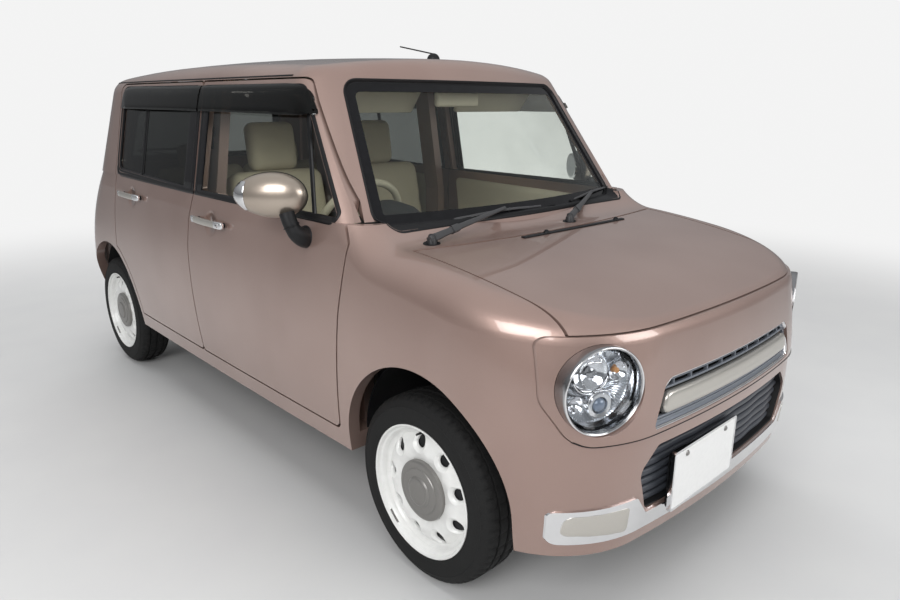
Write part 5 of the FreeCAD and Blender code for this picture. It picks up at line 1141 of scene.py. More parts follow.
# Thin bars above and below the broad one: (height, half length, half thickness)
SLATS = ((0.6868, 0.330, 0.0022), (0.6815, 0.3380, 0.0013), (0.6640, 0.3640, 0.0034),
         (0.5905, 0.3850, 0.0036), (0.5828, 0.3880, 0.0026), (0.5757, 0.3900, 0.0022))
TIE_PITCH = 0.0765
TIE_SPANS = ((0.6655, 0.6870), (0.5757, 0.5900))
LOWER_FOOT, LOWER_WAIST, LOWER_HEAD = 0.3400, 0.4590, 0.5200
FOOT_HALF, WAIST_HALF, HEAD_HALF = 0.388, 0.430, 0.364
LOWER_OPENING = ((-HEAD_HALF, LOWER_HEAD, 0.030), (-WAIST_HALF, LOWER_WAIST, 0.030),
                 (-FOOT_HALF, LOWER_FOOT, 0.024), (FOOT_HALF, LOWER_FOOT, 0.024),
                 (WAIST_HALF, LOWER_WAIST, 0.030), (HEAD_HALF, LOWER_HEAD, 0.030))
LOWER_WALL = ((0, -0.060), (0, -0.0040), (0.5, -0.0025), (1, -0.0040), (1, -0.060))
RIBS = 7
FIRST_RIB, RIB_PITCH = 0.3530, 0.0262


def slat(half_length, z, half_high, depth, lift, waves=0, wave=0.0):
    """A horizontal bar bowed with the nose; its front face may ripple along its length."""
    rings = []
    steps = max(24, waves * 8)
    for step in range(steps + 1):
        x = half_length * (2 * step / steps - 1)
        point, normal = nose_place(x, z)
        ripple = wave * math.cos(2 * math.pi * waves * x / (2 * half_length)) if waves else 0.0
        ring = []
        for across, out in soft_rect(half_high, depth, min(half_high, depth) * 0.75, 4):
            ring.append(point + Vector((0, 0, across)) + normal * (lift + out + (ripple if out > 0 else 0)))
        rings.append(ring)
    return loft(rings)


def build_upper_grille():
    loop = rounded_loop(UPPER_OPENING, 6, 0.04)
    rim = banded(inset_loop(loop, -0.004), inset_loop(loop, 0.0060), UPPER_FRAME, nose_place, True)
    mesh_piece("upper_grille_frame", rim, CHROME, "root", 50, ("upper_grille",))
    back = pillow(inset_loop(loop, 0.003), ((0, -0.034), (0.002, -0.032), (0.004, -0.0315)), nose_place)
    mesh_piece("upper_grille_back", back, BLACK, "root", 50)
    ring = banded(inset_loop(loop, 0.0052), inset_loop(loop, 0.0135), UPPER_SURROUND, nose_place, True)
    mesh_piece("upper_grille_surround", ring, GRILLE_GREY, "root", 50)
    bars = [slat(half, z, half_high, 0.0060, -0.0115) for z, half, half_high in SLATS]
    mesh_piece("upper_grille_slats", joined(*bars), GRILLE_GREY, "root", 45)
    ties = []
    for number in range(-4, 5):
        for low, high in TIE_SPANS:
            path = [raised(nose_place, number * TIE_PITCH, z, -0.0125) for z in (low, (low + high) / 2, high)]
            ties.append(swept(path, soft_rect(0.0016, 0.0060, 0.0008, 2), (0, -1, 0)))
    mesh_piece("upper_grille_ties", joined(*ties), GRILLE_GREY, "root", 45)
    loop = rounded_loop(BROAD_BAR, 8, 0.03)
    mesh_piece("upper_grille_broad_bar", pillow(loop, BROAD_LEVELS, nose_place), SATIN, "root",
               35)
    gap = banded(inset_loop(loop, -0.0040), inset_loop(loop, 0.002), BAR_GAP, nose_place, True)
    mesh_piece("upper_grille_bar_gap", gap, GLOSS_BLACK, "root", 45)


def build_lower_grille():
    loop = rounded_loop(LOWER_OPENING, 6, 0.04)
    back = pillow(inset_loop(loop, -0.012), ((0, -0.062), (0.002, -0.060), (0.004, -0.0595)), nose_place)
    mesh_piece("lower_grille_back", back, BLACK, "root", 50, ("lower_grille",))
    wall = banded(inset_loop(loop, -0.001), inset_loop(loop, 0.0040), LOWER_WALL, nose_place, True)
    mesh_piece("lower_grille_surround", wall, BLACK, "root", 50)
    ribs = []
    for number in range(RIBS):
        z = FIRST_RIB + RIB_PITCH * number
        level, half = (LOWER_FOOT, FOOT_HALF) if z < LOWER_WAIST else (LOWER_HEAD, HEAD_HALF)
        share = (z - level) / (LOWER_WAIST - level)
        ribs.append(slat(half + (WAIST_HALF - half) * share - 0.006, z, 0.0102, 0.0120, -0.030, 5, 0.0012))
    mesh_piece("lower_grille_ribs", joined(*ribs), GRILLE_DARK, "root", 50)


# Half of the joint's line, from the right lamp to the middle of the nose
NOSE_SEAM = ((-0.5980, 0.5738), (-0.5900, 0.5692), (-0.5800, 0.5640), (-0.5700, 0.5608),
             (-0.5600, 0.5590), (-0.5400, 0.5585), (-0.4500, 0.5585), (-0.3600, 0.5585),
             (-0.2700, 0.5585), (-0.1800, 0.5585), (-0.0900, 0.5585), (0.0, 0.5585))
SEAM_RING = ((0, -0.001), (0.04, 0.0011), (0.36, 0.0013), (0.6, 0.0010), (1, -0.002))
SEAM_WIDTH = 0.0060
# A ray that passes through the open joint is tried again this much higher. What it hits further
# back than the nose doesn't count.
JOINT_RISE = 0.002
JOINT_TRIES = 6
NOSE_BACK = -1.5


def nose_joint_place(x, z):
    """The nose seen from ahead; where the open joint lets the ray through, the edge just above it."""
    for rise in range(JOINT_TRIES):
        point, normal = front_place(x, z + JOINT_RISE * rise)
        if point is not None and point.y < NOSE_BACK:
            break
    return point, normal


def build_nose_seam():
    """The dark joint below the nose panel, between the lamps and under the upper grille."""
    rows = [Vector(row) for row in NOSE_SEAM]
    line = flat_curve(rows + [Vector((-row.x, row.y)) for row in reversed(rows[:-1])], 6)
    below = []
    for index, here in enumerate(line):
        along = (line[min(index + 1, len(line) - 1)] - line[max(index - 1, 0)]).normalized()
        below.append(here - Vector((-along.y, along.x)) * SEAM_WIDTH)
    seal = banded(line, below, SEAM_RING, nose_joint_place, False)
    mesh_piece("nose_joint_seal", seal, RUBBER_TRIM, "root", 60)


PLATE_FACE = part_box("front_plate")[0].y
PLATE_OUTLINE = rectangle(-0.317, 0.017, 0.3185, 0.4845, 0.008)
PLATE_RIM = ((0, -0.010), (0, 0.0010), (0.5, 0.0022), (1, 0.0010))
PLATE_BOLT = ((0.0, 0.0042), (0.0048, 0.0040), (0.0060, 0.0022), (0.0078, 0.0012), (0.0082, -0.001),
              (0.0, -0.001))
GARNISH_INSERT = ((0.452, 0.3020, 0.012), (0.452, 0.3740, 0.012), (0.6060, 0.3700, 0.022),
                  (0.6120, 0.3160, 0.016))


def plate_place(x, z):
    return Vector((x, PLATE_FACE, z)), Vector((0, -1, 0))


def mirrored(sign, rows):
    """Outline rows for one side, from rows whose u counts outward."""
    return [(sign * u, v, radius) for u, v, radius in rows]


def build_front_details():
    build_nose_seam()
    build_upper_grille()
    build_lower_grille()
    chrome = tree_of(["bumper_garnish"])
    chrome_place = tree_place(chrome, lambda u, v: Vector((u, -RAY_FAR, v)), (0, 1, 0))
    for sign, side in SIDES:
        patch("garnish_insert_" + side, mirrored(sign, GARNISH_INSERT), SATIN, "root", chrome_place,
              0.0016)
    border = rounded_loop(PLATE_OUTLINE, 4, 0.05)
    rim = banded(inset_loop(border, -0.003), inset_loop(border, 0.0035), PLATE_RIM, plate_place, True)
    mesh_piece("plate_frame", rim, CHROME, "root", 50)
    bracket = pillow(border, ((0.006, -0.020), (0.004, -0.0165)), plate_place)
    mesh_piece("plate_bracket", bracket, BLACK)
    for number, x in enumerate((-0.255, -0.045), 1):
        turn = Matrix.Translation(plate_place(x, 0.466)[0]) @ Matrix.Rotation(math.pi / 2, 4, "X")
        mesh_piece("plate_bolt_%d" % number, turned(PLATE_BOLT, turn, 24), STEEL)


# Rear end and roof

# Tail lamp fields: (name, low and high edge, finish)
TAIL_FIELDS = (("signal", 0.776, 0.822, AMBER), ("reverse", 0.640, 0.676, CLEAR_LENS))
TAIL_OUTLINE = ((0.592, 0.606, 0.012), (0.586, 0.853, 0.016), (0.662, 0.853, 0.02), (0.690, 0.606, 0.012))
TAIL_RIM = ((0, -0.003), (0.2, 0.0014), (0.8, 0.0014), (1, -0.003))
LENS_RIBS = 9
LENS_RIB_LOW, LENS_RIB_PITCH, LENS_RIB_HALF = 0.690, 0.0096, 0.0014
LENS_RIB_RING = ((0, -0.001), (0.5, 0.0011), (1, -0.001))
REFLECTOR = ((0.560, 0.400, 0.010), (0.560, 0.438, 0.010), (0.655, 0.438, 0.012), (0.655, 0.400, 0.012))
# Pads on the tailgate: (name, outline, finish, height of the base, thickness, slot)
TAILGATE_PATCHES = (
    ("rear_plate_recess", rectangle(-0.190, 0.190, 0.560, 0.742, 0.020, 0.030), BLACK, 0, 0.0012, None),
    ("rear_plate", rectangle(-0.165, 0.165, 0.567, 0.732, 0.008), PLATE, 0.0035, 0.0016, "plate_white"),
    ("tailgate_lamp_shelf", rectangle(-0.150, 0.150, 0.768, 0.785, 0.014, 0.008), BLACK, 0, 0.0060, None),
    ("high_stop_lamp", rectangle(-0.145, 0.145, 1.336, 1.352, 0.006), RED_LENS, 0, 0.0050, "red_lens"))
REAR_BOLT = ((0.0, 0.0032), (0.0048, 0.0030), (0.0062, 0.0016), (0.0080, 0.0008), (0.0, -0.002))
# The tailgate's handle: rows of (x, lift, scale wide, scale thick) at one height
TAILGATE_HANDLE = (
    (-0.178, -0.004, 0.75, 0.9), (-0.176, 0.010, 0.85, 1.0), (-0.165, 0.020, 1, 1), (-0.08, 0.0255, 1, 1),
    (0.0, 0.0265, 1, 1), (0.08, 0.0255, 1, 1), (0.165, 0.020, 1, 1), (0.176, 0.010, 0.85, 1.0),
    (0.178, -0.004, 0.75, 0.9))
HANDLE_HEIGHT = 0.792
REAR_WIPER_FOOT = 0.985
REAR_WIPER_CAP = ((0.0, 0.018), (0.010, 0.0165), (0.0165, 0.011), (0.0190, 0.002), (0.0200, -0.006),
                  (0.0, -0.006))
REAR_BLADE_START, REAR_BLADE_LENGTH, REAR_BLADE_HEIGHT = -0.395, 0.29, 1.0680


def build_tail_lamps():
    place = tree_place(tree_of(["tail_lamps"]), lambda u, v: Vector((u, RAY_FAR, v)), (0, -1, 0))
    for sign, side in SIDES:
        for label, low, high, finish in TAIL_FIELDS:
            rows = mirrored(sign, ((0.606, low, 0.008), (0.606, high, 0.008), (0.664, high, 0.008),
                                   (0.674, low, 0.008)))
            patch("tail_%s_lens_%s" % (label, side), rows, finish, "root", place, 0.0015)
        ribs = []
        for number in range(LENS_RIBS):
            z = LENS_RIB_LOW + LENS_RIB_PITCH * number
            edges = [stretch_line((sign * 0.604, level), (sign * 0.676, level), 10)
                     for level in (z - LENS_RIB_HALF, z + LENS_RIB_HALF)]
            ribs.append(banded(*edges, LENS_RIB_RING, place, False))
        mesh_piece("tail_lens_ribs_" + side, joined(*ribs), RED_LENS, "root", 60)
        loop = rounded_loop(mirrored(sign, TAIL_OUTLINE), 5, 0.03)
        rim = banded(inset_loop(loop, 0.0), inset_loop(loop, 0.0045), TAIL_RIM, place, True)
        mesh_piece("tail_lamp_rim_" + side, rim, CHROME, "root", 60)
        patch("rear_reflector_" + side, mirrored(sign, REFLECTOR), RED_LENS, "root", rear_place, 0.0022)


def build_tailgate_details():
    body = "tailgate_body"
    for name, rows, finish, lift, thick, slot in TAILGATE_PATCHES:
        patch(name, rows, finish, body, lifted(rear_place, lift), thick)
    for number, x in enumerate((-0.105, 0.105), 1):
        turn = standing(*lifted(rear_place, 0.0050)(x, 0.716))
        mesh_piece("rear_plate_bolt_%d" % number, turned(REAR_BOLT, turn, 24), STEEL, body)
    path = [raised(rear_place, x, HANDLE_HEIGHT, lift) for x, lift, wide, thick in TAILGATE_HANDLE]
    handle = swept(path, soft_rect(0.0135, 0.008, 0.006, 4), (0, 1, 0.2),
                   [row[2:] for row in TAILGATE_HANDLE])
    mesh_piece("tailgate_handle_bar", handle, CHROME, body, 45)
    turn = standing(*lifted(rear_place, 0.004)(0.0, REAR_WIPER_FOOT))
    mesh_piece("rear_wiper_cap", turned(REAR_WIPER_CAP, turn, 40), BLACK, body)
    shares = [step / 8 for step in range(9)]
    path = [raised(rear_place, -0.30 * share, REAR_WIPER_FOOT + 0.066 * share, 0.016 - 0.004 * share)
            for share in shares]
    arm = swept(path, soft_rect(0.011, 0.0065, 0.004, 3), (0, 1, 0.25),
                [(1 - 0.5 * share, 1 - 0.45 * share) for share in shares])
    mesh_piece("rear_wiper_arm", arm, BLACK, body, 45)
    shares = [step / 12 for step in range(13)]
    path = [raised(rear_place, REAR_BLADE_START + REAR_BLADE_LENGTH * share, REAR_BLADE_HEIGHT,
                   0.001 + 0.006 * math.sin(math.pi * share)) for share in shares]
    blade = swept(path, soft_rect(0.0065, 0.0048, 0.002, 3), (0, 1, 0.25))
    mesh_piece("rear_wiper_blade", blade, RUBBER_TRIM, body, 45)


# Cabin

def cushion(half, radius, crown, grooves=(), cuts=16, groove_deep=0.007, groove_wide=0.008):
    """A stuffed pad: a rounded box, crowned on top, with stitched grooves across local X or Y."""
    form = bmesh.new()
    bmesh.ops.create_cube(form, size=2.0)
    bmesh.ops.subdivide_edges(form, edges=form.edges[:], cuts=cuts, use_grid_fill=True)
    for vertex in form.verts:
        full = Vector((vertex.co.x * half[0], vertex.co.y * half[1], vertex.co.z * half[2]))
        core = Vector([max(-(size - radius), min(size - radius, part)) for part, size in zip(full, half)])
        away = full - core
        point = core + away.normalized() * radius if away.length > 1e-6 else full
        u, v = point.x / half[0], point.y / half[1]
        swell = crown * max(0.0, 1 - u ** 4) * max(0.0, 1 - v ** 4)
        if point.z > -half[2] * 0.2:
            dip = sum(groove_deep * math.exp(-(((u * half[0] if axis == 0 else v * half[1]) - at)
                                               / groove_wide) ** 2) for axis, at in grooves)
            point.z += (swell - dip) * min(1.0, (point.z / half[2] + 0.2) / 0.6)
        vertex.co = point
    points = [vertex.co.copy() for vertex in form.verts]
    form.verts.index_update()
    faces = [tuple(vertex.index for vertex in face.verts) for face in form.faces]
    form.free()
    return points, faces


# Stuffed pads on both sides of the car: (name, centre with x outward, lean in degrees,
# half sizes, corner radius, crown, stitched grooves (axis, place), cuts)
FRONT_PADS = (
    ("front_cushion_", (0.280, 0.035, 0.475), 4, (0.235, 0.250, 0.070), 0.052, 0.016,
     ((0, -0.145), (0, 0.145), (1, 0.03)), 16),
    ("front_back_", (0.280, 0.262, 0.770), 78, (0.225, 0.285, 0.056), 0.050, 0.014,
     ((0, -0.140), (0, 0.140), (1, 0.08), (1, -0.09)), 16),
    ("front_headrest_", (0.270, 0.352, 1.150), 82, (0.112, 0.104, 0.040), 0.036, 0.010, (), 12))
REAR_PADS = (
    ("rear_back_", (0.236, 1.118, 0.760), 76, (0.232, 0.255, 0.048), 0.044, 0.012,
     ((0, -0.10), (0, 0.10)), 16),
    ("rear_headrest_", (0.236, 1.178, 1.060), 80, (0.115, 0.062, 0.036), 0.032, 0.008, (), 10))
BENCH_PAD = ("rear_cushion", (0, 0.890, 0.475), 4, (0.470, 0.225, 0.070), 0.052, 0.014,
             ((0, 0.0), (0, -0.235), (0, 0.235)), 16)
REPLACED_SEATS = {"front_cushion_right": ("front_seats",), "rear_cushion": ("rear_seat",)}
SEAT_X = 0.280
BASE_LOW, BASE_HIGH = 0.315, 0.412


def pad(name, centre, lean, half, radius, crown, grooves, cuts, fill=0.8):
    place = Matrix.Translation(centre) @ Matrix.Rotation(math.radians(lean), 4, "X")
    points, faces = cushion(half, radius, crown, grooves, cuts)
    piece = mesh_piece(name, ([place @ point for point in points], faces), SEAT, "root",
                       80, REPLACED_SEATS.get(name, ()))


def side_pads(sign, side, rows):
    for name, (x, y, z), *form in rows:
        pad(name + side, (sign * x, y, z), *form)


def seat_box(x, y, half_x, half_y):
    corners = [(x + u * half_x, y + v * half_y) for u, v in ((-1, -1), (1, -1), (1, 1), (-1, 1))]
    return loft([[Vector((u, v, z)) for u, v in corners] for z in (BASE_LOW, BASE_HIGH)])


def build_seats():
    for sign, side in SIDES:
        side_pads(sign, side, FRONT_PADS)
        x = sign * SEAT_X
        posts = []
        for post_x in (sign * 0.272 - 0.045, sign * 0.272 + 0.045):
            path = [Vector((post_x, 0.318, 1.005)), Vector((post_x, 0.343, 1.090))]
            posts.append(swept(path, oval(0.0055, 0.0055), (0, -1, 0)))
        mesh_piece("headrest_posts_" + side, joined(*posts), CHROME)
        mesh_piece("seat_base_" + side, seat_box(x, 0.03, 0.200, 0.215), DARK_TRIM)
        rail = swept([Vector((x, -0.19, 0.322)), Vector((x, 0.24, 0.322))],
                     soft_rect(0.215, 0.007, 0.003, 2), (0, 0, 1))
        mesh_piece("seat_rail_" + side, rail, STEEL)
    pad(*BENCH_PAD)
    for sign, side in SIDES:
        side_pads(sign, side, REAR_PADS)
    mesh_piece("rear_seat_base", seat_box(0, 0.90, 0.440, 0.190), DARK_TRIM)


INSIDE = tree_of(["cabin_shell"])
# Door linings: (name, CAD node, body, outline)
DOOR_CARDS = (
    ("front", "front_door_", "door_front_",
     ((-0.690, 0.430, 0.04), (-0.690, 0.955, 0.04), (0.150, 0.970, 0.03), (0.150, 0.430, 0.05))),
    ("rear", "rear_door_", "door_rear_",
     ((0.300, 0.430, 0.04), (0.300, 0.970, 0.03), (0.990, 0.970, 0.04), (0.990, 0.700, 0.10),
      (0.840, 0.430, 0.10))))
CARD_LEVELS = ((0, -0.001), (0.0, 0.006), (0.004, 0.010), (0.03, 0.012))
# The armrest's height and its ends behind the card's front edge, and the inner handle's height
REST_HEIGHT, REST_START, REST_END = 0.70, 0.16, 0.58
INNER_HANDLE_HEIGHT = 0.835


def build_linings():
    """Roof lining, door cards, armrests and inner handles, laid on the inner faces."""
    roof_place = tree_place(INSIDE, lambda u, v: Vector((u, v, 1.15)), (0, 0, 1))
    loop = rounded_loop(rectangle(-0.500, 0.500, -0.470, 1.300, 0.05), 5, 0.06)
    mesh_piece("roof_lining", pillow(loop, ((0, -0.002), (0.0, 0.005), (0.006, 0.008)), roof_place),
               LINING)
    for sign, side in SIDES:
        for label, node, body, rows in DOOR_CARDS:
            body += side
            place = tree_place(tree_of([node + side]), lambda u, v: Vector((0.0, u, v)), (sign, 0, 0))
            card = pillow(rounded_loop(rows, 5, 0.05), CARD_LEVELS, place)
            mesh_piece(label + "_door_card_" + side, card, CREAM, body)
            first, last = rows[0][0] + REST_START, rows[0][0] + REST_END
            path = [raised(place, first + (last - first) * step / 8, REST_HEIGHT,
                           0.012 + 0.024 * math.sin(math.pi * (step + 0.6) / 9.2)) for step in range(9)]
            rest = swept(path, soft_rect(0.024, 0.018, 0.010, 4), (sign, 0, 0))
            mesh_piece(label + "_armrest_" + side, rest, DARK_TRIM, body)
            path = [raised(place, first + 0.02 + 0.075 * step / 6, INNER_HANDLE_HEIGHT,
                           0.014 + 0.010 * math.sin(math.pi * step / 6)) for step in range(7)]
            grip = swept(path, soft_rect(0.0085, 0.0045, 0.003, 3), (sign, 0, 0))
            mesh_piece(label + "_inner_handle_" + side, grip, CHROME, body)


# The instruments: middle and height, and the outward direction of their tilted face
DIAL_X, DIAL_Z = -0.285, 0.93
DIAL_NORMAL = Vector((0, 0.97, 0.24))
HOOD = ((-0.585, 0.030), (-0.540, 0.068), (-0.470, 0.076), (-0.466, 0.070), (-0.500, 0.062),
        (-0.560, 0.020))
DIALS = ((-0.330, 0.026), (-0.285, 0.034), (-0.240, 0.026))
# Pads on the dashboard: (name, outline, finish, height of the base, thickness)
DASH_PATCHES = (
    ("centre_panel", ((-0.110, 0.700, 0.012), (-0.125, 0.880, 0.020), (0.125, 0.880, 0.020),
                      (0.110, 0.700, 0.012)), CREAM, 0, 0.006),
    ("radio_face", rectangle(-0.088, 0.088, 0.800, 0.866, 0.006), GLOSS_BLACK, 0.006, 0.003),
    ("passenger_panel", rectangle(0.170, 0.420, 0.845, 0.895, 0.012), CREAM, 0, 0.004))
KNOB = ((0.0, 0.017), (0.0125, 0.0165), (0.0150, 0.0145), (0.0165, 0.002), (0.0200, 0.0), (0.0, -0.002))
AIR_VENT = ((0.0, 0.002), (0.030, 0.002), (0.034, 0.010), (0.040, 0.011), (0.045, 0.004),
            (0.046, -0.003), (0.0, -0.003))


def dial_place(u, v):
    return Vector((u, -0.505 - (v - DIAL_Z) * 0.25, v)), DIAL_NORMAL


def build_dashboard_details():
    hood = []
    for turn in (math.pi * step / 12 for step in range(13)):
        hood.append([Vector((DIAL_X - 0.115 * math.cos(turn), y, 0.925 + high * math.sin(turn) ** 0.8))
                     for y, high in HOOD])
    mesh_piece("instrument_hood", loft(hood), DARK_TRIM, "root", 50)
    face = [Vector((DIAL_X + x, DIAL_Z + abs(z) * (1 if z > 0 else 0.5)))
            for x, z in oval(0.100, 0.055, 40)]
    mesh_piece("instrument_face", pillow(face, ((0, -0.006), (0.001, 0), (0.004, 0.001)), dial_place),
               GLOSS_BLACK)
    dials = []
    for x, radius in DIALS:
        turn = standing(Vector((x, -0.503, 0.944)), DIAL_NORMAL)
        dials.append(turned(((radius - 0.002, -0.002), (radius - 0.001, 0.0032), (radius, 0.0036),
                             (radius + 0.001, 0.0026), (radius + 0.001, -0.002)), turn, 40))
    mesh_piece("instrument_rings", joined(*dials), CHROME)
    place = tree_place(tree_of(["dashboard"]), lambda u, v: Vector((u, 0.5, v)), (0, -1, 0))
    for name, rows, finish, lift, thick in DASH_PATCHES:
        patch(name, rows, finish, "root", lifted(place, lift), thick)
    knobs = [turned(KNOB, standing(*lifted(place, 0.006)(x, 0.748)), 32) for x in (-0.060, 0.0, 0.060)]
    mesh_piece("heater_knobs", joined(*knobs), CHROME)
    for number, x in enumerate((-0.470, 0.470), 1):
        mesh_piece("air_vent_%d" % number, turned(AIR_VENT, standing(*place(x, 0.850)), 40), CREAM, "root")


# The front belts: webbing from the upper guide down the pillar, x outward
BELT_LINE = ((0.580, 0.262, 1.215), (0.588, 0.268, 1.00), (0.596, 0.262, 0.74), (0.598, 0.250, 0.50),
             (0.598, 0.245, 0.36))
BELT_GUIDE = ((0.0, -0.007), (0.024, -0.007), (0.029, -0.004), (0.030, 0.004), (0.026, 0.008),
              (0.0, 0.008))


def build_belts():
    for sign, side in SIDES:
        line = curve_through([(sign * x, y, z) for x, y, z in BELT_LINE], 5)
        mesh_piece("belt_webbing_" + side, swept(line, soft_rect(0.0235, 0.0008, 0.0004, 2), (sign, 0, 0)),
                   WEBBING, "root", 60)
        turn = Matrix.Translation((sign * 0.577, 0.262, 1.222)) @ Matrix.Rotation(math.pi / 2, 4, "Y")
        mesh_piece("belt_guide_" + side, turned(BELT_GUIDE, turn, 36), BLACK, "root", 45)


# Under the bonnet: heights count from the engine's top
ENGINE_TOP = 0.660
# Boxes: (name, centre, half x, half y, low, high, corner radius, finish)
BAY_BOXES = (("engine_cover", (-0.030, -1.215), 0.175, 0.135, 0, 0.052, 0.030, BLACK),
             ("air_filter_box", (0.235, -1.130), 0.075, 0.110, 0, 0.115, 0.022, DARK_TRIM),
             ("battery_case", (0.235, -1.355), 0.085, 0.065, 0, 0.100, 0.010, BLACK),
             ("battery_lid", (0.235, -1.355), 0.082, 0.062, 0.098, 0.118, 0.010, CREAM),
             ("coolant_tank", (-0.255, -1.370), 0.050, 0.060, 0, 0.120, 0.026, CREAM))
COVER_RIB_PITCH = 0.058
BATTERY_POST = ((0.0, 0.016), (0.007, 0.016), (0.008, 0.0), (0.0, 0.0))
FILLER_CAP = ((0.0, 0.022), (0.018, 0.022), (0.021, 0.018), (0.021, 0.0), (0.0, 0.0))
# Hoses: (radius, points)
HOSES = (
    (0.026, ((0.170, -1.160, 0.070), (0.110, -1.100, 0.085), (0.040, -1.075, 0.070),
             (-0.010, -1.095, 0.030))),
    (0.015, ((-0.225, -1.330, 0.060), (-0.200, -1.240, 0.075), (-0.215, -1.120, 0.060),
             (-0.180, -1.040, 0.010))),
    (0.008, ((0.180, -1.325, 0.128), (0.090, -1.350, 0.110), (-0.020, -1.380, 0.060),
             (-0.090, -1.400, 0.005))))


def soft_block(centre, half_x, half_y, low, high, radius):
    """An upright block on the engine with rounded corners and a rounded top edge."""
    x, y = centre
    low, high = ENGINE_TOP + low, ENGINE_TOP + high
    rows = ((low, 0.97), (low + 0.004, 1.0), (high - 0.010, 1.0), (high - 0.004, 0.985), (high, 0.94))
    path = [Vector((x, y, z)) for z, scale in rows]
    scales = [(scale, scale) for z, scale in rows]
    return swept(path, soft_rect(half_x, half_y, radius, 5), (0, 1, 0), scales)


def build_engine_bay():
    """What the open bonnet shows on the engine: cover, filter box, battery, tank and hoses."""
    for name, centre, half_x, half_y, low, high, radius, finish in BAY_BOXES:
        mesh_piece(name, soft_block(centre, half_x, half_y, low, high, radius), finish)
    ribs = [soft_block((-0.030 + step * COVER_RIB_PITCH, -1.215), 0.008, 0.112, 0.048, 0.060, 0.007)
            for step in range(-2, 3)]
    mesh_piece("engine_cover_ribs", joined(*ribs), BLACK)
    above = Matrix.Translation((0, 0, ENGINE_TOP))
    posts = [turned(BATTERY_POST, above @ Matrix.Translation((0.235 + shift, -1.325, 0.116)), 20)
             for shift in (-0.058, 0.058)]
    mesh_piece("battery_posts", joined(*posts), SATIN)
    caps = [turned(FILLER_CAP, above @ Matrix.Translation(place), 32)
            for place in ((-0.255, -1.370, 0.118), (-0.110, -1.150, 0.050))]
    mesh_piece("filler_caps", joined(*caps), BLACK)
    hoses = [swept(curve_through([above @ Vector(point) for point in points], 10), oval(size, size, 16),
                   (0, 0, 1)) for size, points in HOSES]
    mesh_piece("engine_hoses", joined(*hoses), RUBBER_TRIM)


# Stage, light and camera

def stage_floor():
    """A pale floor under the car that turns into the plain backdrop further out."""
    mesh = bpy.data.meshes.new("floor")
    form = bmesh.new()
    bmesh.ops.create_circle(form, cap_ends=True, segments=96, radius=60)
    form.to_mesh(mesh)
    form.free()
    floor = bpy.data.objects.new("floor", mesh)
    bpy.context.scene.collection.objects.link(floor)
    made, tree, shader = new_material("pale_floor")
    value = noise(tree, object_space(tree), 3.0)
    tone = ramp(tree, value, 0.3, 0.7, (0.58, 0.58, 0.58), (0.60, 0.60, 0.595))
    set_inputs(tree, shader, (("Base Color", tone), ("Roughness", 0.65)))
    glow = add_node(tree, "Emission", (("Color", BACKDROP),))
    far = add_node(tree, "VectorMath", ((0, object_space(tree)),), operation="LENGTH")
    near_edge, far_edge = FLOOR_FADE
    rows = (("From Min", near_edge), ("From Max", far_edge), ("Value", far.outputs["Value"]))
    fade = add_node(tree, "MapRange", rows, interpolation_type="SMOOTHERSTEP").outputs["Result"]
    seen = maths(tree, "MULTIPLY", add_node(tree, "LightPath").outputs["Is Camera Ray"], fade)
    show_mix(tree, seen, shader.outputs["BSDF"], glow.outputs["Emission"])
    mesh.materials.append(made)


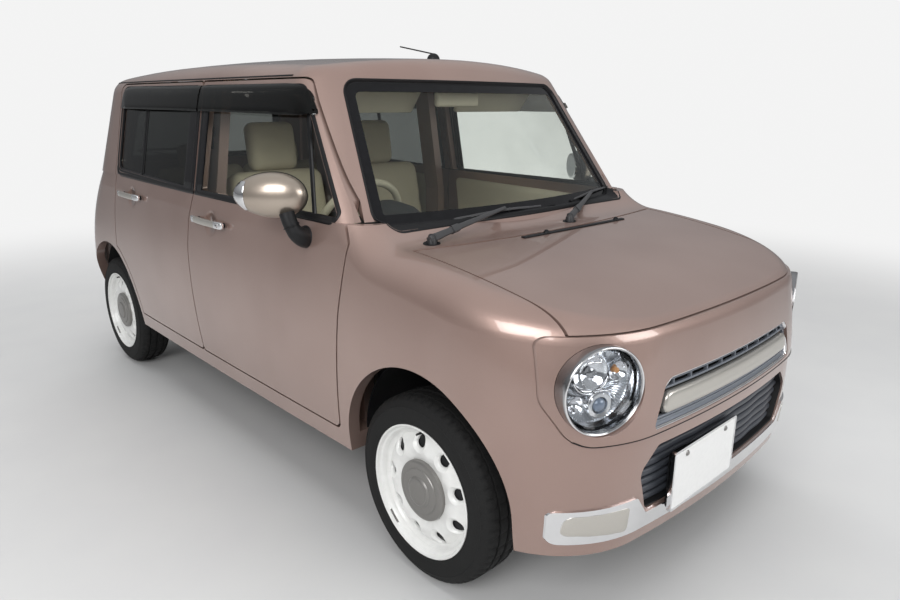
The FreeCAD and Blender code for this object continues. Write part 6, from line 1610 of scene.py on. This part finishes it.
def studio_world():
    """Bright overhead, darker towards the horizon, and plain white where the camera sees it."""
    world = bpy.data.worlds.new("studio")
    bpy.context.scene.world = world
    world.use_nodes = True
    tree = world.node_tree
    background = tree.nodes["Background"]
    upward = add_node(tree, "TexCoord").outputs["Generated"]
    height = add_node(tree, "SeparateXYZ", (("Vector", upward),)).outputs["Z"]
    sky = ramp(tree, height, 0.0, 0.75, (0.30, 0.30, 0.31), (0.86, 0.88, 0.90))
    set_inputs(tree, background, (("Color", sky), ("Strength", 0.55)))
    plain = add_node(tree, "Background", (("Color", BACKDROP),))
    rays = add_node(tree, "LightPath").outputs
    direct = maths(tree, "MAXIMUM", rays["Is Camera Ray"], rays["Is Transmission Ray"])
    show_mix(tree, direct, background.outputs["Background"], plain.outputs["Background"], "World Output")


def soft_box(name, place, target, width, height, power, mirrored=True):
    light = bpy.data.lights.new(name, "AREA")
    light.shape = "RECTANGLE"
    light.size = width
    light.size_y = height
    light.energy = power
    lamp = bpy.data.objects.new(name, light)
    bpy.context.scene.collection.objects.link(lamp)
    lamp.visible_glossy = mirrored
    lamp.location = place
    lamp.rotation_euler = (Vector(target) - Vector(place)).to_track_quat("-Z", "Y").to_euler()


def studio_lights():
    soft_box("overhead", (0.0, 0.0, 5.2), (0, 0, 0.5), 5.0, 7.0, 190, False)
    soft_box("key", (-4.5, -3.2, 3.6), (0, 0, 0.7), 3.6, 2.6, 190)
    soft_box("nose_fill", (1.6, -5.8, 2.6), (0, -0.8, 0.7), 3.0, 2.0, 90)
    soft_box("rear_fill", (2.5, 6.0, 3.2), (0, 0.5, 0.8), 4.0, 2.4, 110, False)


def photo_camera():
    data = bpy.data.cameras.new("photo_camera")
    data.sensor_width = SENSOR_WIDTH
    data.lens = CAMERA_LENS
    camera = bpy.data.objects.new("photo_camera", data)
    bpy.context.scene.collection.objects.link(camera)
    turn = (Matrix.Rotation(-CAMERA_YAW, 4, "Z") @ Matrix.Rotation(math.pi / 2 + CAMERA_PITCH, 4, "X")
            @ Matrix.Rotation(CAMERA_ROLL, 4, "Z"))
    camera.matrix_world = Matrix.Translation(CAMERA_PLACE) @ turn
    bpy.context.scene.camera = camera


dress_cad_nodes()
build_wheels()
build_glazing_trims()
build_door_handles()
build_mirrors()
build_screen()
build_wipers()
build_headlamps()
build_front_details()
build_tail_lamps()
build_tailgate_details()
build_seats()
build_linings()
build_dashboard_details()
build_belts()
build_engine_bay()
stage_floor()
studio_world()
studio_lights()
photo_camera()
bpy.context.scene.view_settings.view_transform = "Standard"
